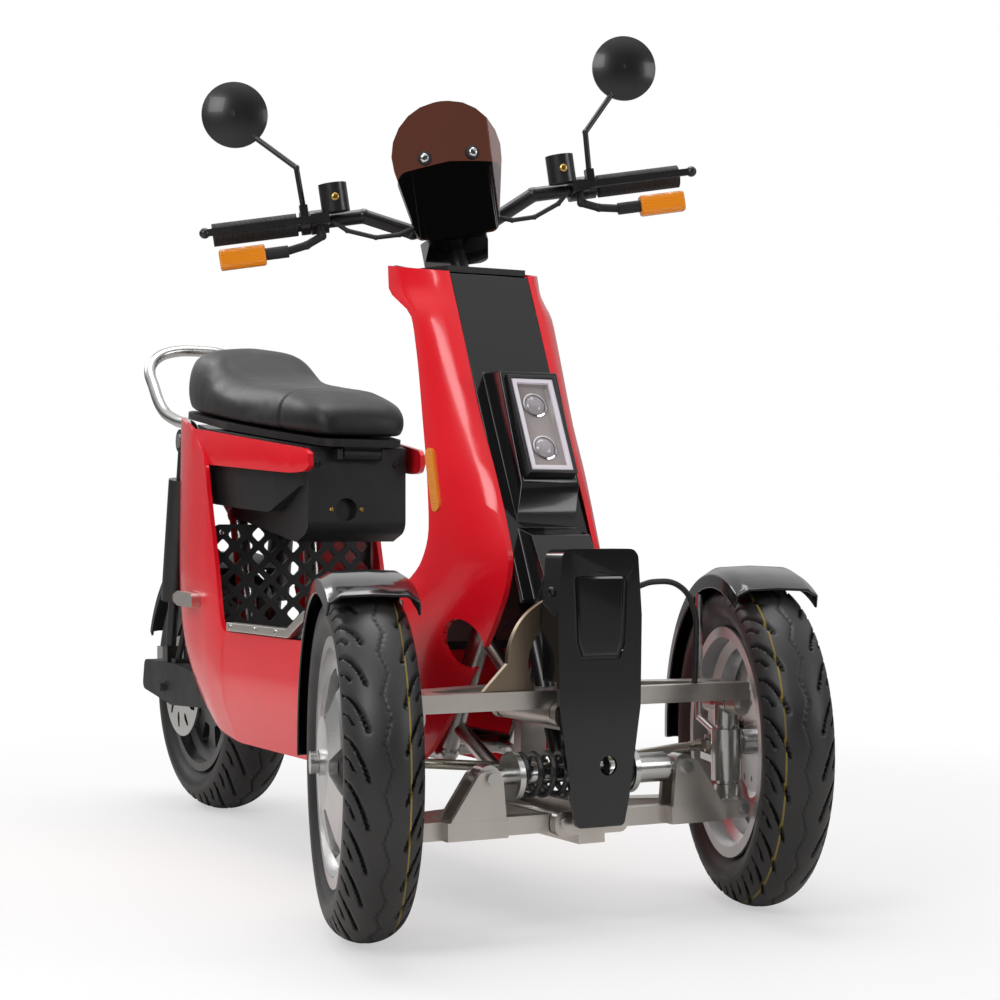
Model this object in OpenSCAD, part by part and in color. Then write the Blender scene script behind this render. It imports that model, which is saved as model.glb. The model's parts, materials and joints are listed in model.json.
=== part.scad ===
// Three-wheeled electric moped with two leaning front wheels on a double-arm linkage.
// Millimetres. X points forward, Y to the rider's left, Z up, and the ground is z = 0.

/* [Wheels] */
// Distance between the front and rear axles
wheelbase = 1300; // [1280:5:1330]
// Distance between the centres of the front wheels
front_track = 600; // [590:2:616]
// Outer radius of a front tyre
front_tyre_r = 232; // [226:1:234]
// Width of a front tyre
front_tyre_w = 100; // [90:1:104]
// Outer radius of the rear tyre
rear_tyre_r = 236; // [228:1:240]
// Width of the rear tyre
rear_tyre_w = 124; // [112:1:128]
// Radius of the rims' bead seats
rim_r = 153; // [150:1:156]
// Radius of a front wheel's axle
front_axle_r = 10; // [8:0.5:12]
// Radius of the rear axle
rear_axle_r = 9; // [8:0.5:11]
// Radius of a front brake disc
front_disc_r = 72; // [66:1:74]
// Radius of the rear brake disc
rear_disc_r = 95; // [85:1:100]

/* [Steering] */
// Rake of the steering column from the vertical, in degrees
rake = 23; // [22:0.5:24]
// Turn of the handlebar as it stands, negative to the right, in degrees
bar_turn = -22; // [-30:1:30]
// Turn of the wheels for each degree of the handlebar
wheel_share = 0.74; // [0.7:0.01:0.78]
// Radius of the steering stem
stem_r = 13; // [11:0.5:14]
// Length of the crank at the foot of the stem
crank_l = 55; // [50:1:58]
// Length of a knuckle's steering arm
knuckle_arm_l = 75; // [70:1:78]
// Radius of a kingpin
kingpin_r = 13; // [11:0.5:14]
// Radius of a handlebar tube
bar_r = 11; // [10:0.5:12]
// Half of the handlebar's width
bar_half_w = 352; // [335:1:360]
// Radius of a mirror's round head
mirror_r = 49; // [40:1:60]

/* [Front linkage] */
// Height of the lower arms' pivots
lower_pivot_z = 146; // [142:1:150]
// Height of the upper arms' pivots
upper_pivot_z = 289; // [285:1:293]
// Sideways distance of the outer pivots from the middle
outer_pivot_y = 252; // [248:1:256]
// Sideways distance of the inner pivots from the middle
inner_pivot_y = 40; // [38:1:44]
// Radius of the pivot pins
pivot_r = 8; // [6:0.5:9]
// Outside radius of the shock absorber's spring
spring_r = 32; // [28:1:34]
// Turns of the spring
spring_turns = 8; // [6:1:10]

/* [Body] */
// Half of the floor's width
floor_half_w = 150; // [146:1:156]
// Height of the floor's top
floor_z = 362; // [356:1:368]
// Half of the front column's width at its black face
column_half_w = 64; // [60:1:68]
// Thickness of the moulded panels
panel_t = 8; // [6:0.5:9]
// Height of the saddle's base at its front
seat_front_z = 668; // [664:1:672]
// Slope of the saddle, in degrees
seat_slope = 7; // [6:0.5:8]
// Length of the saddle
seat_l = 650; // [630:5:670]
// Half of the saddle's width
seat_half_w = 128; // [120:1:134]

/* [Clearances] */
// Radial clearance of a turning fit
run_gap = 0.05; // [0.02:0.01:0.08]
// Gap between pieces that lie against each other
seat_gap = 0.3; // [0.2:0.05:0.5]

/* [Hidden] */
// The turned front wheels reach further on the left, so the moped stands this far to the right
// of its own middle plane, with the origin under the middle of its box
side_shift = -18.5;
module over_origin() { translate([0, side_shift, 0]) children(); }
$fn = 72;

RED = "#e3122b";
GLOSS = "#141416";
MATT = "#242427";
ALLOY = "#b9b5ae";
STEEL = "#9a9a98";
AMBER = "#e8860c";

// Where the axles are
front_x = wheelbase / 2;
rear_x = -wheelbase / 2;
wheel_y = front_track / 2;
lateral = [0, 1, 0];

// The steering axis passes through steer_foot, and the kingpins through kingpin_mid(side)
steer_foot = [front_x, 0, 220];
steer_dir = [-sin(rake), 0, cos(rake)];
steer_back = [-cos(rake), 0, -sin(rake)];
king_dir = [0, 0, 1];
kingpin_ahead = 30;
kingpin_x = front_x + kingpin_ahead;
kingpin_mid_z = (lower_pivot_z + upper_pivot_z) / 2;
wheel_turn = bar_turn * wheel_share;
crank_ball_y = 14;
knuckle_ball_in = 2;
ball_pin_r = 6;
open_pivot_gap = 4.5;

function kingpin_mid(side) = [kingpin_x, side * outer_pivot_y, kingpin_mid_z];
function turned(p, c, k, a) = let (v = p - c) c + v * cos(a) + cross(k,
    v) * sin(a) + k * (k * v) * (1 - cos(a));
function stem_x(z) = steer_foot[0] - (z - steer_foot[2]) * tan(rake);
function stem_at(z) = [stem_x(z), 0, z];
function crank_ball(side) =
    turned(steer_foot + crank_l * steer_back + [0, side * crank_ball_y, 0], steer_foot, steer_dir,
        bar_turn);
function knuckle_ball(side) = turned([kingpin_x - knuckle_arm_l,
    side * (outer_pivot_y - knuckle_ball_in), knuckle_arm_z],
    kingpin_mid(side), king_dir, wheel_turn);
knuckle_arm_z = 208;

// A corner [x, y, r] of an outline becomes an arc of radius r
corner_steps = 6;
function unit(v) = v / norm(v);
function corner_arc(a, b, c, r) = let (
    u = unit(a - b), w = unit(c - b), half = acos(u * w) / 2, reach = r / tan(half),
    middle = b + unit(u + w) * r / sin(half), start = b + u * reach - middle,
    turn = (180 - 2 * half) * sign(u[0] * w[1] - u[1] * w[0]) * -1)
    [for (i = [0:corner_steps]) let (t = turn * i / corner_steps)
        middle + [start[0] * cos(t) - start[1] * sin(t), start[0] * sin(t) + start[1] * cos(t)]];
function rounded(corners) = let (n = len(corners)) [for (i = [0:n - 1]) let (
    a = corners[(i + n - 1) % n], b = corners[i], c = corners[(i + 1) % n])
    each b[2] > 0 ? corner_arc([a[0], a[1]], [b[0], b[1]], [c[0], c[1]], b[2]) : [[b[0], b[1]]]];
function mirrored(corners) = concat(corners,
    [for (i = [len(corners) - 1:-1:0]) if (corners[i][0] != 0) [-corners[i][0], corners[i][1],
        corners[i][2]]]);

// Triangles over a ring of n points, taken between the two halves of its walk
function end_faces(n) = [for (i = [0:floor((n - 1) / 2) - 1]) each concat([[i, i + 1, n - 1 - i]],
    i + 1 < n - 2 - i ? [[i + 1, n - 2 - i, n - 1 - i]] : [])];

// More rows between those of a table, eased column by column so that no value overshoots
function ease_slope(a, b) = a * b > 0 ? 2 * a * b / (a + b) : 0;
function eased_value(p, q, m, n, t) =
    p * (2 * t * t * t - 3 * t * t + 1) + m * (t * t * t - 2 * t * t + t)
    + q * (3 * t * t - 2 * t * t * t) + n * (t * t * t - t * t);
function eased(rows, steps) = let (last = len(rows) - 1) concat([for (i = [0:last - 1], j = [0:steps - 1])
    [for (c = [0:len(rows[0]) - 1]) let (
        p = rows[i][c], q = rows[i + 1][c], d = q - p,
        before = i > 0 ? p - rows[i - 1][c] : d, after = i < last - 1 ? rows[i + 2][c] - q : d)
        eased_value(p, q, ease_slope(before, d), ease_slope(d, after), j / steps)]], [rows[last]]);

// A point of the curve that leaves a for c and is drawn towards b
function drawn(a, b, c, t) = a * (1 - t) * (1 - t) + b * 2 * t * (1 - t) + c * t * t;
function walled(outer, wall) = concat(outer, [for (i = [len(outer) - 1:-1:0]) outer[i] - wall]);

// A closed skin over rings of equal length, given in order
module skin(rings) {
    n = len(rings[0]);
    m = len(rings);
    polyhedron(points = [for (r = rings) each r], faces = concat(
        [for (j = [0:m - 2], i = [0:n - 1]) let (k = (i + 1) % n) [j * n + i, (j + 1) * n + i,
            j * n + k]],
        [for (j = [0:m - 2], i = [0:n - 1]) let (k = (i + 1) % n) [j * n + k, (j + 1) * n + i,
            (j + 1) * n + k]],
        [for (t = end_faces(n)) t],
        [for (t = end_faces(n)) [(m - 1) * n + t[2], (m - 1) * n + t[1], (m - 1) * n + t[0]]]),
            convexity = 6);
}

module turn_about(c, k, a) { translate(c) rotate(a = a, v = k) translate(-c) children(); }
module both_sides() { children(); mirror(lateral) children(); }
module on_side(side) { if (side > 0) children(); else mirror(lateral) children(); }

// A round bar from p to q
module rod(p, q, r) {
    v = q - p;
    translate(p) rotate([0, acos(v[2] / norm(v)), atan2(v[1], v[0])]) cylinder(h = norm(v), r = r);
}

// A tube along straight runs, with ball elbows a little thicker than the tube
elbow_extra = 0.6;
module tube(points, r, extra = elbow_extra) {
    for (i = [0:len(points) - 2]) rod(points[i], points[i + 1], r);
    for (i = [1:len(points) - 2]) translate(points[i]) sphere(r = r + extra);
}

// An outline in the X-Z plane, made a plate from y0 to y1
module side_plate(outline, y0, y1) {
    translate([0, y1, 0]) rotate([90, 0, 0]) linear_extrude(y1 - y0) polygon(outline);
}

// An outline in the Y-Z plane, made a plate from x0 to x1
module cross_plate(outline, x0, x1) {
    translate([x0, 0, 0]) rotate([90, 0, 90]) linear_extrude(x1 - x0) polygon(outline);
}

// A cylinder along X, and one along Y
module pin_x(x0, x1, y, z, r) { translate([x0, y, z]) rotate([0, 90, 0]) cylinder(h = x1 - x0, r = r); }
module pin_y(y0, y1, x, z, r) { translate([x, y1, z]) rotate([90, 0, 0]) cylinder(h = y1 - y0, r = r); }

// Turns a front wheel's own frame, its axle along +Z and its outside up, into place, and back
module at_front_wheel(side) {
    turn_about(kingpin_mid(side), king_dir, wheel_turn)
        translate([front_x, side * wheel_y, front_tyre_r]) rotate([-90 * side, 0, 0]) children();
}
module at_rear_wheel() { translate([rear_x, 0, rear_tyre_r]) rotate([90, 0, 0]) children(); }
module with_bars() { turn_about(steer_foot, steer_dir, bar_turn) children(); }
module with_knuckle(side) { turn_about(kingpin_mid(side), king_dir, wheel_turn) children(); }

// Sizes that several pieces share
frame_r = 16;
cross_r = 13;
weld_extra = 3;
frame_y = 58;
frame_floor_z = 215;
head_top_z = 895;
head_foot_z = 640;
head_wall = 9;
carrier_half_w = 20;
carrier_x0 = front_x - 94;
carrier_x1 = front_x + 85;
lug_t = 14;
eye_r = 16;
shock_x = front_x + 66;
shock_z = 211;
shock_eye_y = 150;
bush_y = 12;
seat_rear_x = rear_x + 8;
seat_front_x = seat_rear_x + seat_l;
hinge_r = 6;
axle_half_w = 112;
swing_pivot = [rear_x + 285, 0, 240];
swing_pin_r = 9;

// Main frame: two tube runs from the steering head under the floor and up to the saddle
function frame_run(s) = [
    [stem_x(head_foot_z + 60), s * 5, head_foot_z + 60], [front_x - 112, s * 50, 420],
    [front_x - 228, s * frame_y, frame_floor_z], [rear_x + 330, s * frame_y, frame_floor_z],
    [rear_x + 262, s * 70, 560], [rear_x + 60, s * 76, 706]];
function frame_along(s, i, share) = let (run = frame_run(s)) run[i] + (run[i + 1] - run[i]) * share;
module frame() {
    color(STEEL) difference() {
        union() {
            rod(stem_at(head_foot_z), stem_at(head_top_z), stem_r + head_wall);
            for (s = [-1, 1]) tube(frame_run(s), frame_r, weld_extra);
            for (x = [front_x - 268, 100, rear_x + 370]) pin_y(-frame_y, frame_y, x, frame_floor_z,
                cross_r);
            pin_y(-70, 70, rear_x + 250, 570, cross_r);
            pin_y(-116, 116, rear_x + 70, 698, cross_r);
        }
        rod(stem_at(head_foot_z - 2), stem_at(head_top_z + 60), stem_r + run_gap);
        rod(stem_at(380), stem_at(head_foot_z), stem_r + 4);
    }
}

// Room for the frame's tubes in what is clamped on them, from run point i to i + 1
module frame_room(i, s) {
    run = frame_run(s);
    rod(run[i], run[i + 1], frame_r + seat_gap);
    for (k = [i, i + 1]) translate(run[k]) sphere(r = frame_r + weld_extra + seat_gap);
}

// Plates that hold the swinging fork's pivot on the frame
module fork_brackets() {
    z = swing_pivot[2];
    x = swing_pivot[0];
    color(STEEL) for (s = [-1, 1]) difference() {
        side_plate(rounded([[x - 15, z - 15, 14], [x + 30, z - 15, 4], [x + 30, z + 40, 4], [x - 8,
            z + 40, 10]]),
            s * frame_y - 8, s * frame_y + 8);
        frame_room(3, s);
        rod(frame_run(s)[2], frame_run(s)[3], frame_r + seat_gap);
        pin_y(-frame_y - 40, frame_y + 40, x, z, swing_pin_r);
    }
}

// Cast carrier that holds the arms' inner pivot pins, open in the middle for shock and crank
module front_carrier() {
    beam = [[carrier_x0, 118], [carrier_x1, 118], [carrier_x1, 172], [carrier_x0 + 20, 172],
        [carrier_x0 + 20, 264],
        [carrier_x1, 264], [carrier_x1, 318], [carrier_x0, 318]];
    color(ALLOY) difference() {
        union() {
            side_plate(beam, -carrier_half_w, carrier_half_w);
            for (z = [lower_pivot_z, upper_pivot_z], x = [carrier_x0, carrier_x1 - lug_t])
                cross_plate(rounded([[-inner_pivot_y - eye_r, z - eye_r, 12], [inner_pivot_y + eye_r,
                    z - eye_r, 12],
                    [inner_pivot_y + eye_r, z + eye_r, 12], [-inner_pivot_y - eye_r, z + eye_r, 12]]),
                        x, x + lug_t);
            for (s = [-1, 1], z = [lower_pivot_z, upper_pivot_z])
                pin_x(carrier_x0 - 3, carrier_x1 + 3, s * inner_pivot_y, z, pivot_r);
            for (s = [-1, 1], tie = [[0.15, 300], [0.8, 152]])
                rod(frame_along(s, 1, tie[0]), [carrier_x0 + 8, s * 8, tie[1]], 11);
        }
        rod(stem_at(120), stem_at(420), stem_r + 3);
        for (s = [-1, 1]) rod(frame_run(s)[1], frame_run(s)[2], frame_r + seat_gap);
    }
}

// One suspension arm, drawn on the left: an A in plan, with eyes along X at both ends
module arm(side, z, lift, outer_x) {
    x0 = carrier_x0 + lug_t + 2;
    x1 = carrier_x1 - lug_t - 2;
    y0 = inner_pivot_y;
    y1 = outer_pivot_y;
    fork = 17;
    ends = [outer_x - 40, outer_x + 40];
    bar_w = 22;
    bar_z = z + lift;
    color(ALLOY) on_side(side) difference() {
        union() {
            translate([0, 0, bar_z - 12]) linear_extrude(24) difference() {
                polygon([[x0, y0 - 6], [x1, y0 - 6], [ends[1], y1 + 12], [ends[0], y1 + 12]]);
                polygon(rounded([[x0 + bar_w + 8, y0 + 20, 8], [x1 - bar_w, y0 + 20, 8],
                    [outer_x + 40 - bar_w, y1 - 46, 8], [outer_x - 40 + bar_w + 6, y1 - 46, 8]]));
            }
            for (e = [[x0, x1, y0, eye_r], [ends[0], ends[1], y1, 14]]) {
                pin_x(e[0], e[1], e[2], z, e[3]);
                if (lift != 0)
                    translate([e[0], e[2] - e[3], min(z, bar_z)]) cube([e[1] - e[0], 2 * e[3],
                        abs(lift) + 0.01]);
            }
        }
        pin_x(x0 - 1, x1 + 1, y0, z, pivot_r + run_gap);
        translate([outer_x - fork - 1, y1 - 26, z - 40]) cube([2 * fork + 2, 80, 100]);
        pin_x(ends[0] - 12, ends[1] + 12, y1, z, pivot_r + run_gap);
    }
}
lower_lift = 0;
upper_lift = 20;
module upper_arm(side) { arm(side, upper_pivot_z, upper_lift, kingpin_x); }

// A lower arm carries one of the shock absorber's brackets
module lower_arm(side) {
    arm(side, lower_pivot_z, lower_lift, kingpin_x);
    color(ALLOY) on_side(side) translate([shock_x - 20, shock_eye_y - 24,
        lower_pivot_z - 12]) cube([40, 88, 24]);
    color(ALLOY) on_side(side) for (x = [shock_x - bush_y - 7 - seat_gap,
        shock_x + bush_y + seat_gap]) difference() {
        cross_plate(rounded([[shock_eye_y + 62, lower_pivot_z + 8, 4], [shock_eye_y + 16, shock_z + 10,
            14],
            [shock_eye_y - 16, shock_z + 10, 14], [shock_eye_y - 22, lower_pivot_z + 8, 4]]), x, x + 7);
        pin_x(x - 1, x + 8, shock_eye_y, shock_z, pivot_r + run_gap);
    }
}

// An upright joins two arms and carries the kingpin that the knuckle turns on
module upright(side) {
    c = kingpin_mid(side);
    half = (upper_pivot_z - lower_pivot_z) / 2;
    color(STEEL) difference() {
        union() {
            rod(c - king_dir * (half - 6), c + king_dir * (half - 6), kingpin_r);
            for (z = [lower_pivot_z, upper_pivot_z]) {
                pin_x(kingpin_x - 17, kingpin_x + 17, side * outer_pivot_y, z, eye_r);
                pin_x(kingpin_x - 46, kingpin_x + 46, side * outer_pivot_y, z, pivot_r);
            }
            rod(c - king_dir * half, c - king_dir * (half - 30), 17);
            rod(c + king_dir * (half - 30), c + king_dir * half, 17);
        }
    }
}

// Tilt lock: a quarter ring on the right upper arm
module tilt_lock_sector() {
    z0 = upper_pivot_z + upper_lift + 12 + seat_gap;
    x0 = front_x + 52;
    color("#8d7a62") translate([x0, 0, 0]) rotate([90, 0, 90]) linear_extrude(9) difference() {
        union() {
            translate([-22, z0 + 34]) circle(r = 92);
            polygon([[-150, z0], [-40, z0], [-40, z0 + 40], [-110, z0 + 40]]);
        }
        translate([-22, z0 + 34]) circle(r = 60);
        translate([18, z0 - 200]) square([200, 500]);
        translate([-300, z0 - 300]) square([600, 300]);
        translate([-62, z0 - 10]) square([100, 60]);
    }
}

// Shock absorber across the two lower arms
module shock_body() {
    color(STEEL) {
        for (s = [-1, 1]) difference() {
            pin_x(shock_x - bush_y, shock_x + bush_y, s * shock_eye_y, shock_z, 17);
            pin_x(shock_x - bush_y - 1, shock_x + bush_y + 1, s * shock_eye_y, shock_z,
                pivot_r + run_gap);
        }
        for (s = [-1, 1]) pin_x(shock_x - 24, shock_x + 24, s * shock_eye_y, shock_z, pivot_r);
        pin_y(-shock_eye_y + 14, -106, shock_x, shock_z, 11);
        pin_y(-114, -106, shock_x, shock_z, spring_r);
        pin_y(-106, 70, shock_x, shock_z, 12);
        pin_y(70, shock_eye_y - 26, shock_x, shock_z, 20);
        pin_y(shock_eye_y - 27, shock_eye_y - 14, shock_x, shock_z, 11);
        pin_y(62, 70, shock_x, shock_z, spring_r);
    }
}

// The shock absorber's coil spring, a helix swept with a few sides
module shock_spring() {
    wire_r = 4.2;
    coil_r = spring_r - wire_r - 0.5;
    y0 = -106 + wire_r + seat_gap;
    y1 = 62 - wire_r - seat_gap;
    steps = spring_turns * 16;
    color(GLOSS) skin([for (i = [0:steps]) let (a = 360 * spring_turns * i / steps,
        y = y0 + (y1 - y0) * i / steps)
        [for (j = [0:5]) let (b = 60 * j, r = coil_r + wire_r * cos(b))
            [shock_x + r * cos(a), y + wire_r * sin(b), shock_z + r * sin(a)]]]);
}

// Gloss shield between the wheels: a hollow cover with a raised frame round a sunk panel
nose_x = front_x + 108;
nose_z0 = 142;
nose_z1 = 508;
nose_hole_r = 13;
nose_wall = 5;
nose_half = [[0, nose_z0, 0], [36, nose_z0, 8], [44, 178, 20], [62, 300, 60], [64, 420, 40], [58,
    nose_z1, 14]];
module nose_panel() {
    wall = nose_wall;
    depth = 44;
    color(GLOSS) difference() {
        union() {
            difference() {
                cross_plate(rounded(nose_outline(0)), nose_x - depth, nose_x);
                cross_plate(rounded(nose_outline(wall)), nose_x - depth - 1, nose_x - wall);
                translate([nose_x - depth - 1, -100, 100]) cube([depth - wall - 0.5, 200, 234]);
            }
            for (z = [145 + 8, 310]) pin_x(carrier_x1 + seat_gap, nose_x - wall + 0.01, 0, z, 9);
        }
        cross_plate(rounded(mirrored([[0, 362, 0], [30, 362, 6], [38, 384, 10], [42, 470, 8], [0, 478,
            0]])),
            nose_x - 3, nose_x + 1);
        pin_x(nose_x - 10, nose_x + 1, 12, 222, nose_hole_r);
    }
}
function nose_outline(inset) = let (k = [for (c = nose_half) c[0] == 0 ? c : [c[0] - inset, c[1], c[2]]],
    low = nose_z0 + inset, high = nose_z1 - inset)
    mirrored([for (c = k) [c[0], min(max(c[1], low), high), c[2]]]);

// The column's own frame: its front face is local x = 0, and local z runs up the slope from the top edge
face_rake = 25.3;
face_top = [front_x - 208, 0, 904];
lamp_half_w = 38;
lamp_z0 = -347;
lamp_z1 = -194;
module at_column_face() { translate(face_top) rotate([0, -face_rake, 0]) children(); }

// Gloss middle face of the column with the lamp's wedge housing and the lower cover
module column_panel() {
    wedge = [[-10, -165], [0, -165], [44, -186], [34, -356], [0, -398], [0, -408], [30, -432], [38,
        -500], [0, -516], [-10, -516]];
    color(GLOSS) at_column_face() difference() {
        union() {
            translate([-10, -column_half_w, -516]) cube([10, 2 * column_half_w, 516]);
            side_plate(wedge, -lamp_half_w - 8, lamp_half_w + 8);
        }
        translate([16, -lamp_half_w - seat_gap, lamp_z0 - seat_gap])
            cube([40, 2 * (lamp_half_w + seat_gap), lamp_z1 - lamp_z0 + 2 * seat_gap]);
    }
}

// Upright rectangular head lamp with two stacked cells
module head_lamp() {
    color("#cfc9d2") at_column_face() difference() {
        translate([16, 0, 0]) rotate([90, 0, 90]) linear_extrude(34) polygon(rounded([[-lamp_half_w,
            lamp_z0, 9],
            [lamp_half_w, lamp_z0, 9], [lamp_half_w, lamp_z1, 9], [-lamp_half_w, lamp_z1, 9]]));
        for (z = [lamp_z0 + 44, lamp_z1 - 44]) translate([36, 0, z]) rotate([0, 90,
            0]) cylinder(h = 20, r = 27);
    }
}

shell_y = floor_half_w + seat_gap + panel_t;
// Columns of the leg shield's table: the front edge's x behind the front axle, y and z, then the rear edge's
shield_rows = [
    [-208, 72.3, 906, -308, 115, 922], [-198, 72.3, 884, -305, 115, 888], [-180, 72.3, 846, -235, 112,
        840],
    [-155, 72.3, 791, -218, 112, 790], [-105, 72.3, 684, -192, 114, 682], [-64, 72.3, 610, -175, 116,
        608],
    [-30, 72.3, 537, -166, 118, 534], [-13, 73, 490, -180, 122, 490], [-18, 75, 455, -210, 128, 462],
    [-50, 80, 395, -255, 138, 434], [-110, 88, 318, -350, 154, 385], [-220, 106, 200, -410, shell_y, 368],
    [-320, 122, 170, -440, shell_y, 361], [-460, 128, 168, -460, shell_y, 360]];
shield_bulge = 14;
fine_shield_rows = eased(shield_rows, 4);
function shield_ring(r) = let (f = [front_x + r[0], r[1], r[2]], b = [front_x + r[3], r[4], r[5]],
    m = f + (b - f) * 0.45 + [0, shield_bulge, 0], pull = 2 * m - (f + b) / 2)
    walled([for (i = [0:6]) drawn(f, pull, b, i / 6)], [0, panel_t, 0]);
module leg_shield(side) {
    color(RED) on_side(side) difference() {
        skin([for (r = fine_shield_rows) shield_ring(r)]);
        side_plate(rounded(reflector_outline(12 + seat_gap)), reflector_y, 160);
        pin_y(20, 200, front_x - 100, 376, 34);
    }
}

// Amber reflectors let into the leg shields
reflector_y = 108.6;
function reflector_outline(half_w) = let (a = [front_x - 170, 648], b = [front_x - 144, 559],
    u = unit(b - a),
    n = [-u[1], u[0]], r = half_w - 1) [for (c = [[-1, 0], [1, 0], [1, 1], [-1, 1]])
    let (p = (c[1] == 0 ? a - u * (half_w - 12) : b + u * (half_w - 12)) + n * c[0] * half_w) [p[0],
        p[1], r]];
module side_reflectors() {
    color(AMBER) both_sides() side_plate(rounded(reflector_outline(12)), reflector_y + seat_gap,
        reflector_y + 9);
}

// Cable from the front shield's edge to the left upper arm
module front_cable() {
    color(MATT) tube([[front_x + 88, 62.5, 455], [front_x + 88, 96, 463], [front_x + 84, 140, 456],
        [front_x + 76, 168, 424],
        [front_x + 66, 178, 380], [front_x + 59, 180, upper_pivot_z + upper_lift + 12 + seat_gap]], 4);
}

// Black cover on the rider's side of the column, humped over the steering head, with the column's top cap
hump_half_w = 42;
module inner_shield() {
    rows = [for (r = fine_shield_rows) if (r[5] > 367.9) r];
    color(MATT) difference() {
        union() {
            skin([for (r = rows) let (w = r[4] - panel_t - seat_gap, x = front_x + r[3], z = r[5],
                m = min(x, stem_x(z) - stem_r - head_wall - 26), h = hump_half_w, d = z < 500 ? [4, 0,
                    -8] : [9, 0, 0])
                [[x, -w, z], [m, -h, z], [m, h, z], [x, w, z],
                    [x, w - 1, z] + d, [m, h - 2, z] + d, [m, 2 - h, z] + d, [x, 1 - w, z] + d]]);
            translate([0, 0, 906]) linear_extrude(9)
                polygon([[front_x - 214, -column_half_w], [front_x - 214, column_half_w],
                    [front_x - 303, 100], [front_x - 330, hump_half_w - 4], [front_x - 330,
                        4 - hump_half_w], [front_x - 303, -100]]);
        }
        rod(stem_at(840), stem_at(1000), stem_r + head_wall + 8);
    }
}

// Floor between the shields, raised at its front, with a rubber mat let into it
mat_t = 2;
module floor_board() {
    top = [[rear_x + 346, floor_z - 16], [front_x - 418, floor_z - 16],
        [front_x - 418, floor_z + 26], [front_x - 490, floor_z + 26], [front_x - 530, floor_z],
            [rear_x + 346, floor_z]];
    rest_z = frame_floor_z + frame_r + seat_gap;
    color(MATT) {
        side_plate(top, 2.5 - floor_half_w, floor_half_w - 2.5);
        translate([rear_x + 372, 22 - floor_half_w, floor_z - 1]) cube([front_x - rear_x - 932,
            2 * floor_half_w - 44, mat_t + 1]);
        for (s = [-1, 1]) translate([rear_x + 460, s * (floor_half_w - 2) - 2,
            floor_z - 16]) cube([front_x - rear_x - 940, 4, 12]);
        for (x = [rear_x + 480, front_x - 560]) translate([x, -80, rest_z]) cube([8, 160,
            floor_z - 10 - rest_z]);
    }
}

// Ribbed metal rails along the floor's edges
module foot_rails() {
    z = floor_z + seat_gap;
    rail = [[rear_x + 455, z], [front_x - 575, z], [front_x - 506, z + 31], [front_x - 376, z + 29],
        [front_x - 376, z + 42],
        [front_x - 512, z + 45], [front_x - 581, z + 14], [rear_x + 455, z + 14]];
    color(ALLOY) both_sides() side_plate(rail, floor_half_w - 4, floor_half_w + 15);
}

// Columns of the rear shell's table: x, upper y, upper z, crease z, lower y, lower z
shell_rows = [
    [front_x - 460 - seat_gap, shell_y, floor_z - 2, 254, 128, 168], [rear_x + 440, shell_y, floor_z - 2, 254,
        130, 170],
    [rear_x + 418, shell_y + 1, floor_z + 8, 256, 131, 172], [rear_x + 388, shell_y + 1, 470, 258, 131,
        176],
    [rear_x + 350, shell_y + 1, 590, 262, 131, 182], [rear_x + 328, shell_y, 652, 266, 131, 188],
    [rear_x + 250, 154, 712, 300, 131, 232], [rear_x + 180, 144, 730, 350, 128, 290],
    [rear_x + 128, 130, 738, 410, 119, 360], [rear_x + 104, 120, 736, 466, 112, 424]];
function shell_ring(r) = let (top = [r[0], r[1], r[2]], crease = [r[0], r[1] + 4, r[3]], low = [r[0],
    r[4], r[5]],
    a = low + (crease - low) * 0.5, b = crease + (top - crease) * 0.4)
    walled(concat([low], [for (i = [0:4]) drawn(a, crease, b, i / 4)], [top]), [0, panel_t, 0]);
// Columns of the table of the band under the saddle: x, y, lower z, upper z
strip_rows = [
    [rear_x + 262, 155, 650, 712], [rear_x + 300, 152, 648, 708], [rear_x + 420, 142, 640, 694],
    [rear_x + 540, 126, 631, 679], [rear_x + 620, 113, 626, 669], [rear_x + 655, 107, 628, 664],
    [rear_x + 668, 104, 636, 656]];
function strip_ring(r) = [[r[0], r[1], r[2]], [r[0], r[1] + 3, (r[2] + r[3]) / 2], [r[0], r[1], r[3]],
    [r[0], r[1] - panel_t, r[3]], [r[0], r[1] - panel_t, r[2]]];
module rear_shell(side) {
    color(RED) on_side(side) {
        mirror([1, 0, 0]) skin([for (r = eased(shell_rows, 4)) [for (p = shell_ring(r)) [-p[0], p[1],
            p[2]]]]);
        skin([for (r = eased(strip_rows, 3)) strip_ring(r)]);
    }
}

// Open mesh wall behind the feet
grille_x = rear_x + 348;
module grille_hole() { polygon(rounded([[14, 0, 5], [0, 14, 5], [-14, 0, 5], [0, -14, 5]])); }
module rear_grille() {
    w = floor_half_w - 1;
    z0 = floor_z + seat_gap;
    z1 = 542;
    color(MATT) translate([grille_x, 0, 0]) rotate([90, 0, 90]) linear_extrude(6) difference() {
        polygon(rounded([[-w, z0, 0], [w, z0, 0], [w, z1, 12], [-w, z1, 12]]));
        for (row = [0:7], col = [-6:6]) {
            y = col * 22;
            z = z0 + 22 + row * 20;
            if ((row + col + 20) % 2 == 0 && abs(y) < w - 16) translate([y, z]) grille_hole();
        }
    }
}

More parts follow.
